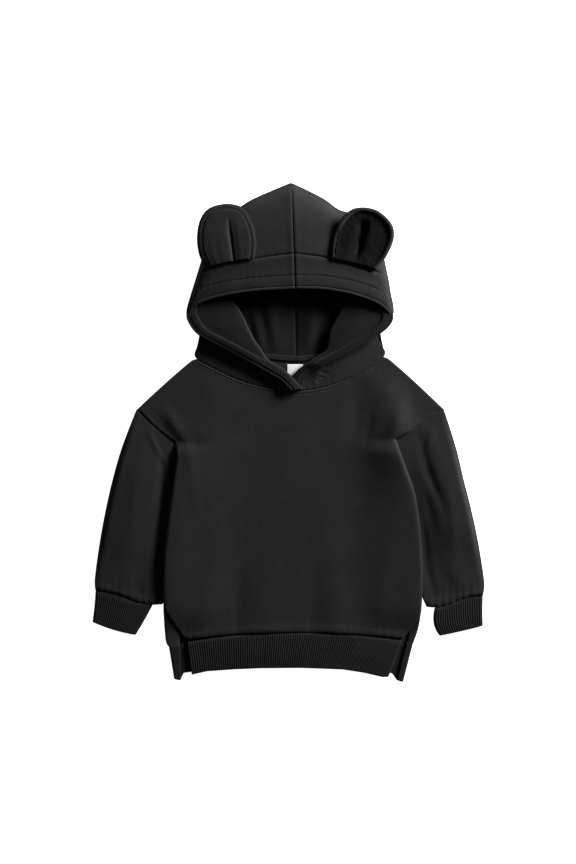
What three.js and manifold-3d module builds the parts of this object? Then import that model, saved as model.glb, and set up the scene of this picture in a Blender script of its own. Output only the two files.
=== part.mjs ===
// A toddler's pullover hoodie with bear ears, in black brushed fleece, laid flat on its back.
// Millimetres. X runs across the garment, Y from the hem up to the hood, Z up from the surface it lies on.
// Every piece is a cloth wall: a grid of points in the middle of the cloth, thickened along its normals.
import * as THREE from "three";
import Module from "manifold-3d";
import { mergeVertices } from "three/addons/utils/BufferGeometryUtils.js";

const wasm = await Module();
wasm.setup();

// Cloth
const FLEECE = 2; // one layer of brushed fleece
const TURNED_HEM = 1.8; // what the turned hem of the hood opening adds to the inner side
const HEM_DEPTH = 17; // width of that hem
const JOIN_TOLERANCE = 0.02; // edges shorter than this are merged where two walls are joined
const EAR_CLOTH = 1.6;
const LABEL_CLOTH = 0.5;
const SEAM_GAP = 0.3;
const NECK_EASE = 0.4; // what the bends of the neck seam add to that gap

// Ribbing
const RIB_PITCH = 3;
const RIB_HEIGHT = 0.6;
const RIB_CLOTH = 1.8;

// Heights of the middle of the cloth above the surface
const BACK_LEVEL = 1;
const FRONT_LEVEL = 4;
const SIDE_LEVEL = (BACK_LEVEL + FRONT_LEVEL) / 2;
const SIDE_RADIUS = (FRONT_LEVEL - BACK_LEVEL) / 2;
const TURN_REACH = SIDE_RADIUS + FLEECE / 2; // from the outermost line to where a turned side lies flat
const SLEEVE_LEVEL = 3.8;
const OVER_SLEEVE = 5.4; // how far the body's sides are lifted to lie on the sleeves
const OVERLAP = 13; // how far the sleeves reach under the body

// Corners of the body, seen from the front
const SHOULDER_LEFT = [-197.9, 29.9];
const SHOULDER_RIGHT = [200.2, 31];
const NECK_LEFT = [-124.5, 95.5];
const NECK_RIGHT = [126.4, 98.5];
const UNDERARM_LEFT = [-148.5, -13];
const UNDERARM_RIGHT = [138.8, -7.8];

// Sides of the body from the underarm to the rib seams, the front's in the last row but one and the back's in
// the last. front and back are how far in from the edge each panel ends on the front: the side seam moves in
// above the slits, where the back wraps round the edge.
const SIDE_LEFT = [
  { x: -148.5, y: -13, front: 0, back: 0 },
  { x: -146.8, y: -31, front: 0, back: 0 },
  { x: -149.8, y: -54, front: 0, back: 0 },
  { x: -153.5, y: -81, front: 0, back: 0 },
  { x: -158, y: -114, front: 0, back: 0 },
  { x: -162.6, y: -152, front: 0, back: 0 },
  { x: -164.4, y: -189, front: 0, back: 0 },
  { x: -163.5, y: -223, front: 0, back: 0 },
  { x: -162.6, y: -243, front: 10, back: 10 },
  { x: -161.6, y: -260, front: 19.5, back: 19.5 },
  { x: -160, y: -273, front: 27.5, back: 18 },
  { x: -156.5, y: -279, front: 30, back: 14.5 },
];
const SIDE_RIGHT = [
  { x: 138.8, y: -7.8, front: 0, back: 0 },
  { x: 146.6, y: -32, front: 0, back: 0 },
  { x: 155.3, y: -56, front: 0, back: 0 },
  { x: 163.1, y: -79, front: 0, back: 0 },
  { x: 168.5, y: -114, front: 0, back: 0 },
  { x: 171.6, y: -152, front: 0, back: 0 },
  { x: 173.1, y: -189, front: 0, back: 0 },
  { x: 172.1, y: -223, front: 0, back: 0 },
  { x: 169.6, y: -245, front: 4, back: 4 },
  { x: 167, y: -258, front: 10.5, back: 10.5 },
  { x: 162.5, y: -271, front: 16.5, back: 8.5 },
  { x: 160.8, y: -275, front: 18, back: 8.3 },
];
const SIDE_STEPS = [10, 9.5, 9, 8.5, 8, 7.75, 7.5, 7.25, 7, 6, 5, 4, 3, 2, 1.5, 1, 0.5, 0]; // rows of points
const SLIT_TOP = 9; // the row of those tables where the side seam ends and the slit begins
const SEAM_LEAVES = { row: 7.2, rows: 0.4, ease: 0.75 }; // where the side seam turns over the edge, and room for it
const SLANT = 1.2; // how much longer a distance from the shoulder line is along the panel's columns
const SLANT_EASE = 0.12; // room for the side seam's slant over the front

// Seams that run across: ends, and how far the middle lies above the line between them
const FRONT_SEAM_RISE = 11;
const BACK_SEAM_RISE = 12.1;
const ARMHOLE_BOW = -3;
const SHOULDER_BOW = 1;
const NECK_SEAM = [NECK_LEFT, [-96.5, 81], [-64, 66.3], [-25, 56], [12, 53], [53, 59.8], [92, 76], NECK_RIGHT];
const NAPE_SEAM = [NECK_LEFT, [-70, 95.2], [-30, 94.2], [9, 91.3], [35, 93.6], [72, 96.4], NECK_RIGHT];

// Hem ribs
const FRONT_RIB = {
  topLeft: [-132.5, -273],
  topRight: [146, -271],
  topRise: 11,
  bottom: [
    [-126.5, -315],
    [-107, -310.6],
    [-71, -308],
    [-35, -306.6],
    [14, -306.2],
    [43, -307.2],
    [70, -308.3],
    [97, -312.5],
    [121, -318],
    [128.5, -318],
  ],
};
const BACK_RIB = {
  topLeft: [-156.3, -279.3],
  topRight: [160.7, -275.3],
  topRise: 12.1,
  bottom: [
    [-149.5, -320.5],
    [-141.5, -322.5],
    [-137.5, -313],
    [-126, -311.5],
    [-60, -305.5],
    [14, -304],
    [60, -305],
    [97, -309],
    [134, -313.5],
    [139.5, -322],
    [148, -325],
  ],
  stripLeft: { top: 14.3, bottom: 8 }, // how far the back rib wraps on to the front at its two ends
  stripRight: { top: 8, bottom: 7.5 },
};

// Broad soft folds of the front: a ridge or hollow of the given height, its long way leaning to the right
const FRONT_FOLDS = [
  { x: -149, y: 10, wide: 8, long: 20, lean: -0.55, height: 2.4 },
  { x: 140, y: 14, wide: 8, long: 24, lean: 0.35, height: 2.4 },
  { x: 95, y: 30, wide: 16, long: 60, lean: 0.12, height: 2.2 },
  { x: 118, y: -90, wide: 20, long: 90, lean: 0.15, height: 2 },
  { x: -30, y: -235, wide: 22, long: 60, lean: 0.1, height: 1.6 },
  { x: 60, y: -225, wide: 18, long: 55, lean: -0.1, height: 1.8 },
  { x: -105, y: -210, wide: 18, long: 70, lean: 0.1, height: 1.6 },
  { x: -60, y: 20, wide: 30, long: 50, lean: 0.5, height: 1.4 },
];

// Sleeves from the armhole to the cuff: outer and inner edge, and the bow and skew of the line between them
const SLEEVE_LEFT = [
  { outerX: -197.9, outerY: 29.9, innerX: -149.2, innerY: -13.6, bow: -3, skew: 0, puff: 0 },
  { outerX: -206, outerY: 10, innerX: -147.6, innerY: -31, bow: -2, skew: 0, puff: 0.5 },
  { outerX: -218, outerY: -22, innerX: -137.5, innerY: -60, bow: 0, skew: 0, puff: 1.5 },
  { outerX: -228.2, outerY: -57, innerX: -141, innerY: -90, bow: 0, skew: 0, puff: 2 },
  { outerX: -236.5, outerY: -92, innerX: -145.5, innerY: -118, bow: 0, skew: 0, puff: 2 },
  { outerX: -243, outerY: -125, innerX: -149.6, innerY: -150, bow: 0, skew: 0, puff: 2 },
  { outerX: -248.7, outerY: -160, innerX: -152.4, innerY: -182, bow: -2, skew: 0, puff: 1.5 },
  { outerX: -252.6, outerY: -192, innerX: -158, innerY: -208, bow: -4, skew: 1.5, puff: 1 },
  { outerX: -251.6, outerY: -206.5, innerX: -164.4, innerY: -223.5, bow: -2.5, skew: 2.8, puff: 0 },
];
const SLEEVE_RIGHT = [
  { outerX: 200.2, outerY: 31, innerX: 138.8, innerY: -7.8, bow: 3, skew: 0, puff: 0 },
  { outerX: 208, outerY: 8, innerX: 147.4, innerY: -32, bow: 2, skew: 0, puff: 0.5 },
  { outerX: 218, outerY: -25, innerX: 144, innerY: -60, bow: 0, skew: 0, puff: 1.5 },
  { outerX: 227, outerY: -63, innerX: 151, innerY: -88, bow: 0, skew: 0, puff: 2 },
  { outerX: 234, outerY: -90, innerX: 155.6, innerY: -114, bow: 0, skew: 0, puff: 2 },
  { outerX: 242, outerY: -125, innerX: 159, innerY: -148, bow: 0, skew: 0, puff: 2 },
  { outerX: 249, outerY: -163, innerX: 161.5, innerY: -180, bow: 0, skew: 0, puff: 1.5 },
  { outerX: 253.6, outerY: -197, innerX: 169, innerY: -205, bow: 1, skew: -1.5, puff: 1 },
  { outerX: 251.6, outerY: -213, innerX: 178.4, innerY: -227, bow: 1.5, skew: -2.8, puff: 0 },
];
const SLEEVE_ROWS = 12;
const ARMHOLE_START = 0.02; // rows of the table left free at the two seams
const CUFF_SEAM_START = 0.02;
const CUFF_GAP = 0.45; // between sleeve and cuff, which follow the seam in steps of different length

// Cuffs below their seam, which follows the sleeve's end over the given share of it
const CUFF_SHARE = 0.86;
const CUFF_LEFT = [
  { outerX: -253.2, outerY: -228, innerX: -189.5, innerY: -247, bow: -2, skew: 1 },
  { outerX: -255.6, outerY: -246.5, innerX: -199.5, innerY: -263.5, bow: -2, skew: 0 },
];
const CUFF_RIGHT = [
  { outerX: 251.2, outerY: -232, innerX: 187.5, innerY: -248, bow: 1, skew: -1 },
  { outerX: 251.6, outerY: -251.5, innerX: 195.5, innerY: -264.4, bow: 0.5, skew: 0 },
];

// Hood, the bag: from the edge of the opening over the crown, round the fold at the outline and along the
// back layer to the nape. rise is the height of the opening's edge, fold that of the top layer at the outline,
// tuck how far the back layer bends in towards the neck.
const BAG_LEFT = [
  { rimX: 7.3, rimY: 184.5, rise: 25, foldX: 2.6, foldY: 324.2, fold: 4.4, backX: 8.7, backY: 91.9, tuck: 0 },
  { rimX: -34, rimY: 182.2, rise: 24.5, foldX: -44.5, foldY: 304, fold: 4.8, backX: -30, backY: 94.8, tuck: 0 },
  { rimX: -56, rimY: 180, rise: 23.6, foldX: -63, foldY: 293, fold: 5, backX: -50, backY: 95.6, tuck: 0 },
  { rimX: -77, rimY: 176.8, rise: 22.5, foldX: -84.5, foldY: 281, fold: 5.4, backX: -70, backY: 96, tuck: 0 },
  { rimX: -100, rimY: 171.5, rise: 20.5, foldX: -108.2, foldY: 236.6, fold: 7, backX: -105, backY: 96.4, tuck: 2 },
  { rimX: -115, rimY: 166, rise: 19, foldX: -120.5, foldY: 199.8, fold: 9.5, backX: -122.5, backY: 99, tuck: 7 },
  { rimX: -124, rimY: 160.5, rise: 17.5, foldX: -128, foldY: 176, fold: 12, backX: -115, backY: 120, tuck: 3 },
  { rimX: -128, rimY: 155.5, rise: 16.5, foldX: -132.3, foldY: 162, fold: 13, backX: -117.5, backY: 142, tuck: 0 },
  { rimX: -129.6, rimY: 151, rise: 15.5, foldX: -133.6, foldY: 153.5, fold: 13, backX: -122, backY: 152, tuck: 0 },
];
const BAG_RIGHT = [
  { rimX: 7.7, rimY: 184.5, rise: 25, foldX: 3.4, foldY: 323.6, fold: 4.4, backX: 9.3, backY: 92.3, tuck: 0 },
  { rimX: 40, rimY: 184, rise: 24.5, foldX: 42, foldY: 304.6, fold: 4.8, backX: 35, backY: 94.2, tuck: 0 },
  { rimX: 59, rimY: 181.5, rise: 23.6, foldX: 63, foldY: 289.8, fold: 5, backX: 54, backY: 95.8, tuck: 0 },
  { rimX: 77, rimY: 178.2, rise: 22.5, foldX: 88.5, foldY: 279, fold: 5.4, backX: 72, backY: 97.2, tuck: 0 },
  { rimX: 98, rimY: 172.2, rise: 20.5, foldX: 116, foldY: 246, fold: 7, backX: 105, backY: 98.6, tuck: -2 },
  { rimX: 114, rimY: 165.5, rise: 19, foldX: 127.5, foldY: 203, fold: 9.5, backX: 124.5, backY: 101, tuck: -8 },
  { rimX: 124, rimY: 158.5, rise: 17.5, foldX: 131.5, foldY: 180, fold: 12, backX: 114.5, backY: 121, tuck: -3 },
  { rimX: 129, rimY: 153, rise: 16.5, foldX: 134.6, foldY: 166, fold: 13, backX: 118.5, backY: 142, tuck: 0 },
  { rimX: 130.8, rimY: 148.5, rise: 15.5, foldX: 135.6, foldY: 155, fold: 13, backX: 123, backY: 152, tuck: 0 },
];
// The crown's fall from the opening's edge to the outline
const CROWN_FALL = [
  { along: 0, height: 1 },
  { along: 0.15, height: 0.93 },
  { along: 0.3, height: 0.82 },
  { along: 0.5, height: 0.55 },
  { along: 0.7, height: 0.3 },
  { along: 0.88, height: 0.1 },
  { along: 1, height: 0 },
];

// Hood, the lapels: from the neck seam (higher up, the fold at the side) inwards to the roll, and turned back
// outwards with the inner side up to the edge of the opening. The left one crosses over the right at the throat.
const LAPEL_LEFT = [
  { seamX: 12, seamY: 53.4, seamZ: 8.8, rollX: 17, rollY: 55.5, low: 8.8, high: 11.1, rimX: 2, rimY: 53.4, rimZ: 11.1 },
  { seamX: 8, seamY: 53.4, seamZ: 8.8, rollX: 11, rollY: 62, low: 8.8, high: 11.3, rimX: -2, rimY: 58, rimZ: 11.2 },
  { seamX: -4, seamY: 54, seamZ: 7, rollX: 1, rollY: 73, low: 8.7, high: 11.4, rimX: -11, rimY: 67, rimZ: 10.6 },
  { seamX: -25, seamY: 56.4, seamZ: 4, rollX: -12, rollY: 84, low: 8, high: 11.4, rimX: -25, rimY: 75, rimZ: 10.4 },
  { seamX: -48, seamY: 61.4, seamZ: 4, rollX: -28, rollY: 94, low: 6.6, high: 10.8, rimX: -42, rimY: 85, rimZ: 10.6 },
  { seamX: -73, seamY: 70.4, seamZ: 4, rollX: -37, rollY: 107, low: 6.6, high: 10.8, rimX: -60, rimY: 95, rimZ: 11 },
  { seamX: -99, seamY: 82.6, seamZ: 3.8, rollX: -46, rollY: 120, low: 6.8, high: 11, rimX: -78, rimY: 105, rimZ: 11.5 },
  { seamX: -122.5, seamY: 98.5, seamZ: 3, rollX: -54, rollY: 136, low: 7, high: 11, rimX: -99, rimY: 116, rimZ: 12 },
  { seamX: -115, seamY: 121, seamZ: 2.05, rollX: -61, rollY: 151, low: 7, high: 11, rimX: -118.5, rimY: 126.5, rimZ: 12.4 },
  { seamX: -118, seamY: 146, seamZ: 2.05, rollX: -69, rollY: 164, low: 7, high: 11, rimX: -130.5, rimY: 142, rimZ: 12.6 },
  { seamX: -124, seamY: 164, seamZ: 2.05, rollX: -80, rollY: 178, low: 7, high: 11, rimX: -132.6, rimY: 155, rimZ: 13 },
  { seamX: -119, seamY: 186, seamZ: 2.05, rollX: -89, rollY: 194, low: 5, high: 9, rimX: -125, rimY: 178, rimZ: 10 },
];
const LAPEL_RIGHT = [
  { seamX: 10.5, seamY: 53.4, seamZ: 4, rollX: 7, rollY: 56, low: 4, high: 6.4, rimX: 17, rimY: 54.4, rimZ: 6.4 },
  { seamX: 15, seamY: 53.6, seamZ: 4, rollX: 6, rollY: 63, low: 4, high: 6.4, rimX: 18, rimY: 62, rimZ: 6.4 },
  { seamX: 26, seamY: 54.8, seamZ: 4, rollX: 6, rollY: 71, low: 4, high: 6.4, rimX: 21, rimY: 70, rimZ: 6.6 },
  { seamX: 40, seamY: 57.2, seamZ: 4, rollX: 11, rollY: 79, low: 4.4, high: 7, rimX: 27, rimY: 77, rimZ: 8 },
  { seamX: 56, seamY: 61.2, seamZ: 4, rollX: 21, rollY: 87, low: 5.5, high: 9, rimX: 37, rimY: 83, rimZ: 9.5 },
  { seamX: 74, seamY: 68.2, seamZ: 4, rollX: 33, rollY: 95, low: 6.5, high: 10.5, rimX: 53, rimY: 91, rimZ: 10.5 },
  { seamX: 97, seamY: 79.4, seamZ: 3.8, rollX: 47, rollY: 105, low: 6.8, high: 11, rimX: 72, rimY: 101, rimZ: 11 },
  { seamX: 124.5, seamY: 100.5, seamZ: 3, rollX: 51, rollY: 118, low: 7, high: 11, rimX: 93, rimY: 113, rimZ: 11.5 },
  { seamX: 114.5, seamY: 122, seamZ: 2.05, rollX: 54, rollY: 133, low: 7, high: 11, rimX: 117, rimY: 126.5, rimZ: 12 },
  { seamX: 119, seamY: 146, seamZ: 2.05, rollX: 62, rollY: 148, low: 7, high: 11, rimX: 131, rimY: 139, rimZ: 12.4 },
  { seamX: 125, seamY: 164, seamZ: 2.05, rollX: 70, rollY: 162, low: 7, high: 11, rimX: 134.4, rimY: 152, rimZ: 13 },
  { seamX: 119, seamY: 186, seamZ: 2.05, rollX: 82, rollY: 185, low: 5, high: 9, rimX: 127, rimY: 176, rimZ: 10 },
];

// Ears: the outline from one end of the base round the top to the other, and the crease down the middle
const EAR_LEFT = {
  outline: [
    [-107.5, 211],
    [-116, 228],
    [-119, 251],
    [-115, 274],
    [-103, 289],
    [-80, 294.5],
    [-60, 289],
    [-48, 271],
    [-42.5, 246],
    [-44.5, 221.5],
  ],
  crease: { x: -79, depth: 2.4, halfWidth: 7 },
  tip: 15,
};
const EAR_RIGHT = {
  outline: [
    [54.5, 220.5],
    [56.5, 244],
    [64, 269],
    [78, 285],
    [94, 289.5],
    [114, 285],
    [131, 269],
    [134.5, 250],
    [126, 228],
    [112.5, 208.5],
  ],
  crease: { x: 90, depth: 3, halfWidth: 12 },
  tip: 17,
};
const EAR_RIM = 6; // width of fleece that shows round the lining
const EAR_LAYER_GAP = 0.6;
const EAR_ROWS = 7;
const EAR_COLUMNS = 10;

const LABEL = { left: -3, right: 18, bottom: 71.5, top: 88, z: 2.55 };

const FLEECE_BLACK = { color: 0x252526, roughness: 0.95, metalness: 0 };
const RIB_BLACK = { color: 0x1d1d1e, roughness: 0.95, metalness: 0 };
const PLUSH_BLACK = { color: 0x161617, roughness: 1, metalness: 0 };
const LABEL_GREY = { color: 0xb9b9b9, roughness: 0.6, metalness: 0 };

const { clamp, lerp, smoothstep } = THREE.MathUtils;

// Helpers for lines seen from above

// A smooth line through [x, y] points, read by its share of length.
function smoothLine(points) {
  const curve = new THREE.SplineCurve(points.map(([x, y]) => new THREE.Vector2(x, y)));
  return (share) => curve.getPointAt(clamp(share, 0, 1)).toArray();
}

// A line between two points whose middle is moved to its left by bow, and its first half further by skew.
function bowedLine([x0, y0], [x1, y1], bow, skew = 0) {
  const length = Math.hypot(x1 - x0, y1 - y0);
  return (share) => {
    const sway = bow * 4 * share * (1 - share) + skew * Math.sin(2 * Math.PI * share);
    const swing = sway / length;
    return [lerp(x0, x1, share) - (y1 - y0) * swing, lerp(y0, y1, share) + (x1 - x0) * swing];
  };
}

// A line through points from left to right, read by its share of the way across.
function lineAcross(points) {
  return (share) => {
    const x = lerp(points[0][0], points.at(-1)[0], clamp(share, 0, 1));
    const next = Math.max(1, points.findIndex(([px]) => px >= x - 1e-9));
    const [[x0, y0], [x1, y1]] = [points[next - 1], points[next]];
    return [x, lerp(y0, y1, (x - x0) / (x1 - x0))];
  };
}

// Lines end to end, each with its own range of the share.
function joinedLines(pieces) {
  return (share) => {
    const piece = pieces.find(({ to }) => share <= to + 1e-9) ?? pieces.at(-1);
    return piece.line(clamp((share - piece.from) / (piece.to - piece.from), 0, 1));
  };
}

// The surface between four lines: u runs along bottom and top, v up the left and right.
function patch({ bottom, top, left, right }) {
  return (u, v) =>
    [0, 1].map((i) => {
      const across = lerp(left(v)[i], right(v)[i], u);
      const up = lerp(bottom(u)[i], top(u)[i], v);
      const corners = lerp(
        lerp(bottom(0)[i], bottom(1)[i], u),
        lerp(top(0)[i], top(1)[i], u),
        v,
      );
      return across + up - corners;
    });
}

function spread(count) {
  return Array.from({ length: count + 1 }, (_, i) => i / count);
}

// Smooth values through table rows, row numbers from 0, for every named column.
function tableAt(rows, at) {
  const values = {};
  for (const name of Object.keys(rows[0])) {
    const curve = new THREE.SplineCurve(rows.map((row, i) => new THREE.Vector2(i, row[name])));
    values[name] = curve.getPoint(at / (rows.length - 1)).y;
  }
  return values;
}

// Helpers for solids

// The direction of a line of points at place i of count. At an end it follows the bend of the next two points.
function tangent(neighbour, i, count) {
  if (i > 0 && i < count - 1) return neighbour(1).clone().sub(neighbour(-1));
  const way = i === 0 ? 1 : -1;
  const first = neighbour(way).clone().sub(neighbour(0));
  if (count < 3) return first.multiplyScalar(way);
  const second = neighbour(2 * way).clone().sub(neighbour(way));
  const [h1, h2] = [first.length(), second.length()];
  const bend = second.divideScalar(h2).sub(first.clone().divideScalar(h1));
  return first.divideScalar(h1).addScaledVector(bend, -h1 / (h1 + h2)).multiplyScalar(way);
}

// A closed wall from rows of points in the middle of the cloth. over and under are how far its two faces lie
// from those points. A ring's rows close on themselves.
function wall(rows, { over = FLEECE / 2, under = FLEECE / 2, ring = false } = {}) {
  const high = rows.length;
  const wide = rows[0].length;
  const point = (i, j) => rows[clamp(i, 0, high - 1)][ring ? (j + wide) % wide : clamp(j, 0, wide - 1)];
  const reach = (value, i, j) => (typeof value === "function" ? value(i, j) : value);
  const faces = [[], []];
  for (let i = 0; i < high; i++) {
    for (let j = 0; j < wide; j++) {
      const along = tangent((step) => point(i, j + step), ring ? 1 : j, ring ? 3 : wide);
      const up = tangent((step) => point(i + step, j), i, high);
      const normal = along.cross(up).normalize();
      faces[0].push(point(i, j).clone().addScaledVector(normal, reach(over, i, j)));
      faces[1].push(point(i, j).clone().addScaledVector(normal, -reach(under, i, j)));
    }
  }
  const index = [];
  const at = (face, i, j) => face * high * wide + i * wide + (ring ? j % wide : j);
  const quad = (a, b, c, d) => index.push(a, b, c, a, c, d);
  const lastColumn = ring ? wide : wide - 1;
  for (let i = 0; i < high - 1; i++) {
    for (let j = 0; j < lastColumn; j++) {
      quad(at(0, i, j), at(0, i, j + 1), at(0, i + 1, j + 1), at(0, i + 1, j));
      quad(at(1, i, j), at(1, i + 1, j), at(1, i + 1, j + 1), at(1, i, j + 1));
    }
    if (ring) continue;
    quad(at(0, i + 1, 0), at(1, i + 1, 0), at(1, i, 0), at(0, i, 0));
    quad(at(0, i, wide - 1), at(1, i, wide - 1), at(1, i + 1, wide - 1), at(0, i + 1, wide - 1));
  }
  for (let j = 0; j < lastColumn; j++) {
    quad(at(0, 0, j), at(1, 0, j), at(1, 0, j + 1), at(0, 0, j + 1));
    quad(at(0, high - 1, j + 1), at(1, high - 1, j + 1), at(1, high - 1, j), at(0, high - 1, j));
  }
  const geometry = new THREE.BufferGeometry();
  const positions = faces.flat().flatMap((p) => p.toArray());
  geometry.setAttribute("position", new THREE.Float32BufferAttribute(positions, 3));
  geometry.setIndex(index);
  return geometry;
}

function toSolid(geometry) {
  const merged = mergeVertices(geometry, 1e-4);
  return new wasm.Manifold(
    new wasm.Mesh({
      numProp: 3,
      vertProperties: new Float32Array(merged.attributes.position.array),
      triVerts: new Uint32Array(merged.index.array),
    }),
  );
}

function toGeometry(solid) {
  const mesh = solid.getMesh();
  const geometry = new THREE.BufferGeometry();
  geometry.setAttribute("position", new THREE.BufferAttribute(mesh.vertProperties, 3));
  geometry.setIndex(new THREE.BufferAttribute(mesh.triVerts, 1));
  return geometry;
}

function piece(name, geometry, look) {
  const mesh = new THREE.Mesh(geometry, new THREE.MeshStandardMaterial(look));
  mesh.name = name;
  return mesh;
}

// Body

// A point of the turned side, by its place along the cloth: 0 at the outermost line, negative on the front.
function sideTurn(along) {
  const angle = clamp(along / SIDE_RADIUS, -Math.PI / 2, Math.PI / 2);
  const flat = Math.max(0, Math.abs(along) - (SIDE_RADIUS * Math.PI) / 2);
  return {
    inward: TURN_REACH - SIDE_RADIUS * Math.cos(angle) + flat,
    z: SIDE_LEVEL - SIDE_RADIUS * Math.sin(angle),
  };
}

const QUARTER_TURN = (SIDE_RADIUS * Math.PI) / 2;

// Where the side seam lies along the cloth when it is `seam` in from the edge on the front.
function seamPlace(seam) {
  if (seam < TURN_REACH) return (-QUARTER_TURN * seam) / TURN_REACH;
  return -(QUARTER_TURN + seam - TURN_REACH);
}

// Places of the edge columns along the cloth, from the seam inwards.
function frontEdge(seam, gap) {
  const start = seamPlace(seam) - gap;
  return [0, 0.8, 1.6, 3.2].map((step) => start - step);
}

function backEdge(seam, gap) {
  const start = seamPlace(seam) + gap;
  const places = [start];
  for (const place of [-QUARTER_TURN, -QUARTER_TURN / 2, 0, QUARTER_TURN / 2, QUARTER_TURN, 3.5]) {
    places.push(Math.max(place, places.at(-1) + 0.35));
  }
  return places;
}

// How far the body is lifted where its sides lie on the sleeves.
function sideLift(inward, y) {
  const rows = smoothstep(-y, 10, 30) * (1 - smoothstep(-y, 226, 264));
  return OVER_SLEEVE * rows * (1 - smoothstep(inward, OVERLAP + 5, OVERLAP + 55));
}

function foldHeight(x, y) {
  return FRONT_FOLDS.reduce((sum, fold) => {
    const up = (y - fold.y) / fold.long;
    const across = (x - fold.x - (y - fold.y) * fold.lean) / fold.wide;
    return sum + fold.height * Math.exp(-across * across - up * up);
  }, 0);
}

// One panel of the body, the front or the back, from its rib seam up to the shoulders and neck.
function bodyPanel({ isFront, seamRise, neckSeam, columns, yokeRows }) {
  const level = isFront ? FRONT_LEVEL : BACK_LEVEL;
  const last = SIDE_LEFT.length - (isFront ? 2 : 1);
  const sidePoint = (side) => (v) => {
    const row = tableAt(side, last * (1 - v));
    return [row.x, row.y];
  };
  const ends = [SIDE_LEFT[last], SIDE_RIGHT[last]].map(({ x, y }) => [x, y]);
  const lower = patch({
    bottom: bowedLine(ends[0], ends[1], seamRise),
    top: bowedLine(UNDERARM_LEFT, UNDERARM_RIGHT, 0),
    left: sidePoint(SIDE_LEFT),
    right: sidePoint(SIDE_RIGHT),
  });
  const shoulderShare = 0.2;
  const yoke = patch({
    bottom: bowedLine(UNDERARM_LEFT, UNDERARM_RIGHT, 0),
    top: joinedLines([
      { line: bowedLine(SHOULDER_LEFT, NECK_LEFT, SHOULDER_BOW), from: 0, to: shoulderShare },
      { line: smoothLine(neckSeam), from: shoulderShare, to: 1 - shoulderShare },
      { line: bowedLine(NECK_RIGHT, SHOULDER_RIGHT, SHOULDER_BOW), from: 1 - shoulderShare, to: 1 },
    ]),
    left: bowedLine(UNDERARM_LEFT, SHOULDER_LEFT, -ARMHOLE_BOW),
    right: bowedLine(UNDERARM_RIGHT, SHOULDER_RIGHT, ARMHOLE_BOW),
  });

  // A row of points: the two edges by their own columns, the middle evenly spread.
  const row = (at, v, edges, curl, sink) => {
    const [x0, y0] = at(0, v);
    const [x1, y1] = at(1, v);
    const width = Math.hypot(x1 - x0, y1 - y0);
    const left = edges[0].map((place) => turned(place, curl));
    const right = edges[1].map((place) => turned(place, curl)).reverse();
    const from = left.at(-1).inward;
    const to = width - right[0].inward;
    const middle = spread(columns).slice(1, -1).map((s) => ({ inward: lerp(from, to, s), z: level }));
    const stations = [
      ...left,
      ...middle,
      ...right.map(({ inward, z }) => ({ inward: width - inward, z })),
    ];
    return stations.map(({ inward, z }) => {
      const u = inward / width;
      const [x, y] = at(u, v);
      const lift = sideLift(inward, y) + sideLift(width - inward, y);
      const folds = isFront ? foldHeight(x, y) * smoothstep(Math.min(inward, width - inward), 0, 12) : 0;
      return new THREE.Vector3(x, y, z + lift + folds - sink(u));
    });
  };
  const turned = (place, curl) => {
    const { inward, z } = sideTurn(place);
    const flatInward = Math.abs(place);
    return { inward: lerp(flatInward, inward, curl), z: lerp(level, z, curl) };
  };

  const rows = [];
  const lowerSteps = isFront ? SIDE_STEPS : [last, ...SIDE_STEPS];
  for (const step of lowerSteps) {
    const turn = Math.exp(-(((step - SEAM_LEAVES.row) / SEAM_LEAVES.rows) ** 2));
    const edges = [SIDE_LEFT, SIDE_RIGHT].map((side) => {
      const { front, back } = tableAt(side, step);
      const seam = Math.max(0, isFront || step <= SLIT_TOP ? front : back);
      const slant = seam > 0 ? SLANT_EASE : 0;
      return (isFront ? frontEdge : backEdge)(seam, SEAM_GAP / 2 + SEAM_LEAVES.ease * turn + slant);
    });
    const curl = smoothstep(step, 0, SIDE_STEPS.at(-2));
    rows.push(row(lower, 1 - step / last, edges, curl, () => 0));
  }
  const seamEdge = (isFront ? frontEdge : backEdge)(0, SEAM_GAP / 2).map(Math.abs);
  const edgeTurn = [2.4, 1.2, 0.4, SEAM_GAP / 2]; // distances of the last rows from the shoulder line
  const yokeSteps = [...spread(yokeRows).slice(1, -1), ...edgeTurn];
  yokeSteps.forEach((step, i) => {
    const isEdge = i >= yokeRows - 1;
    const onShoulder = (u) => 1 - smoothstep(Math.min(u, 1 - u), shoulderShare, shoulderShare + 0.01);
    const sink = (u) => {
      if (!isEdge) return 0;
      const turn = SIDE_RADIUS - Math.sqrt(SIDE_RADIUS ** 2 - Math.max(0, SIDE_RADIUS - step) ** 2);
      return (isFront ? 1 : -1) * onShoulder(u) * turn;
    };
    const at = (u, v) => {
      if (!isEdge) return yoke(u, v);
      const [bx, by] = yoke(u, 0);
      const [tx, ty] = yoke(u, 1);
      const away = (step + (FLEECE / 2) * onShoulder(u)) * SLANT;
      return yoke(u, 1 - away / Math.hypot(tx - bx, ty - by));
    };
    rows.push(row(at, isEdge ? 1 : step * 0.97, [seamEdge, seamEdge], 0, sink));
  });
  return wall(rows);
}

// Ribs: the wall's outer face rises and falls from column to column over a plain inner face.
function ribFace(j) {
  return RIB_CLOTH / 2 + (j % 2 ? RIB_HEIGHT : 0);
}

function ribSheet({ topLeft, topRight, topRise, bottom }) {
  return patch({
    bottom: lineAcross(bottom),
    top: bowedLine(topLeft, topRight, topRise),
    left: bowedLine(bottom[0], topLeft, 0),
    right: bowedLine(bottom.at(-1), topRight, 0),
  });
}

const RIB_DEPTH = 44; // of the hem ribs, from seam to edge

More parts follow.
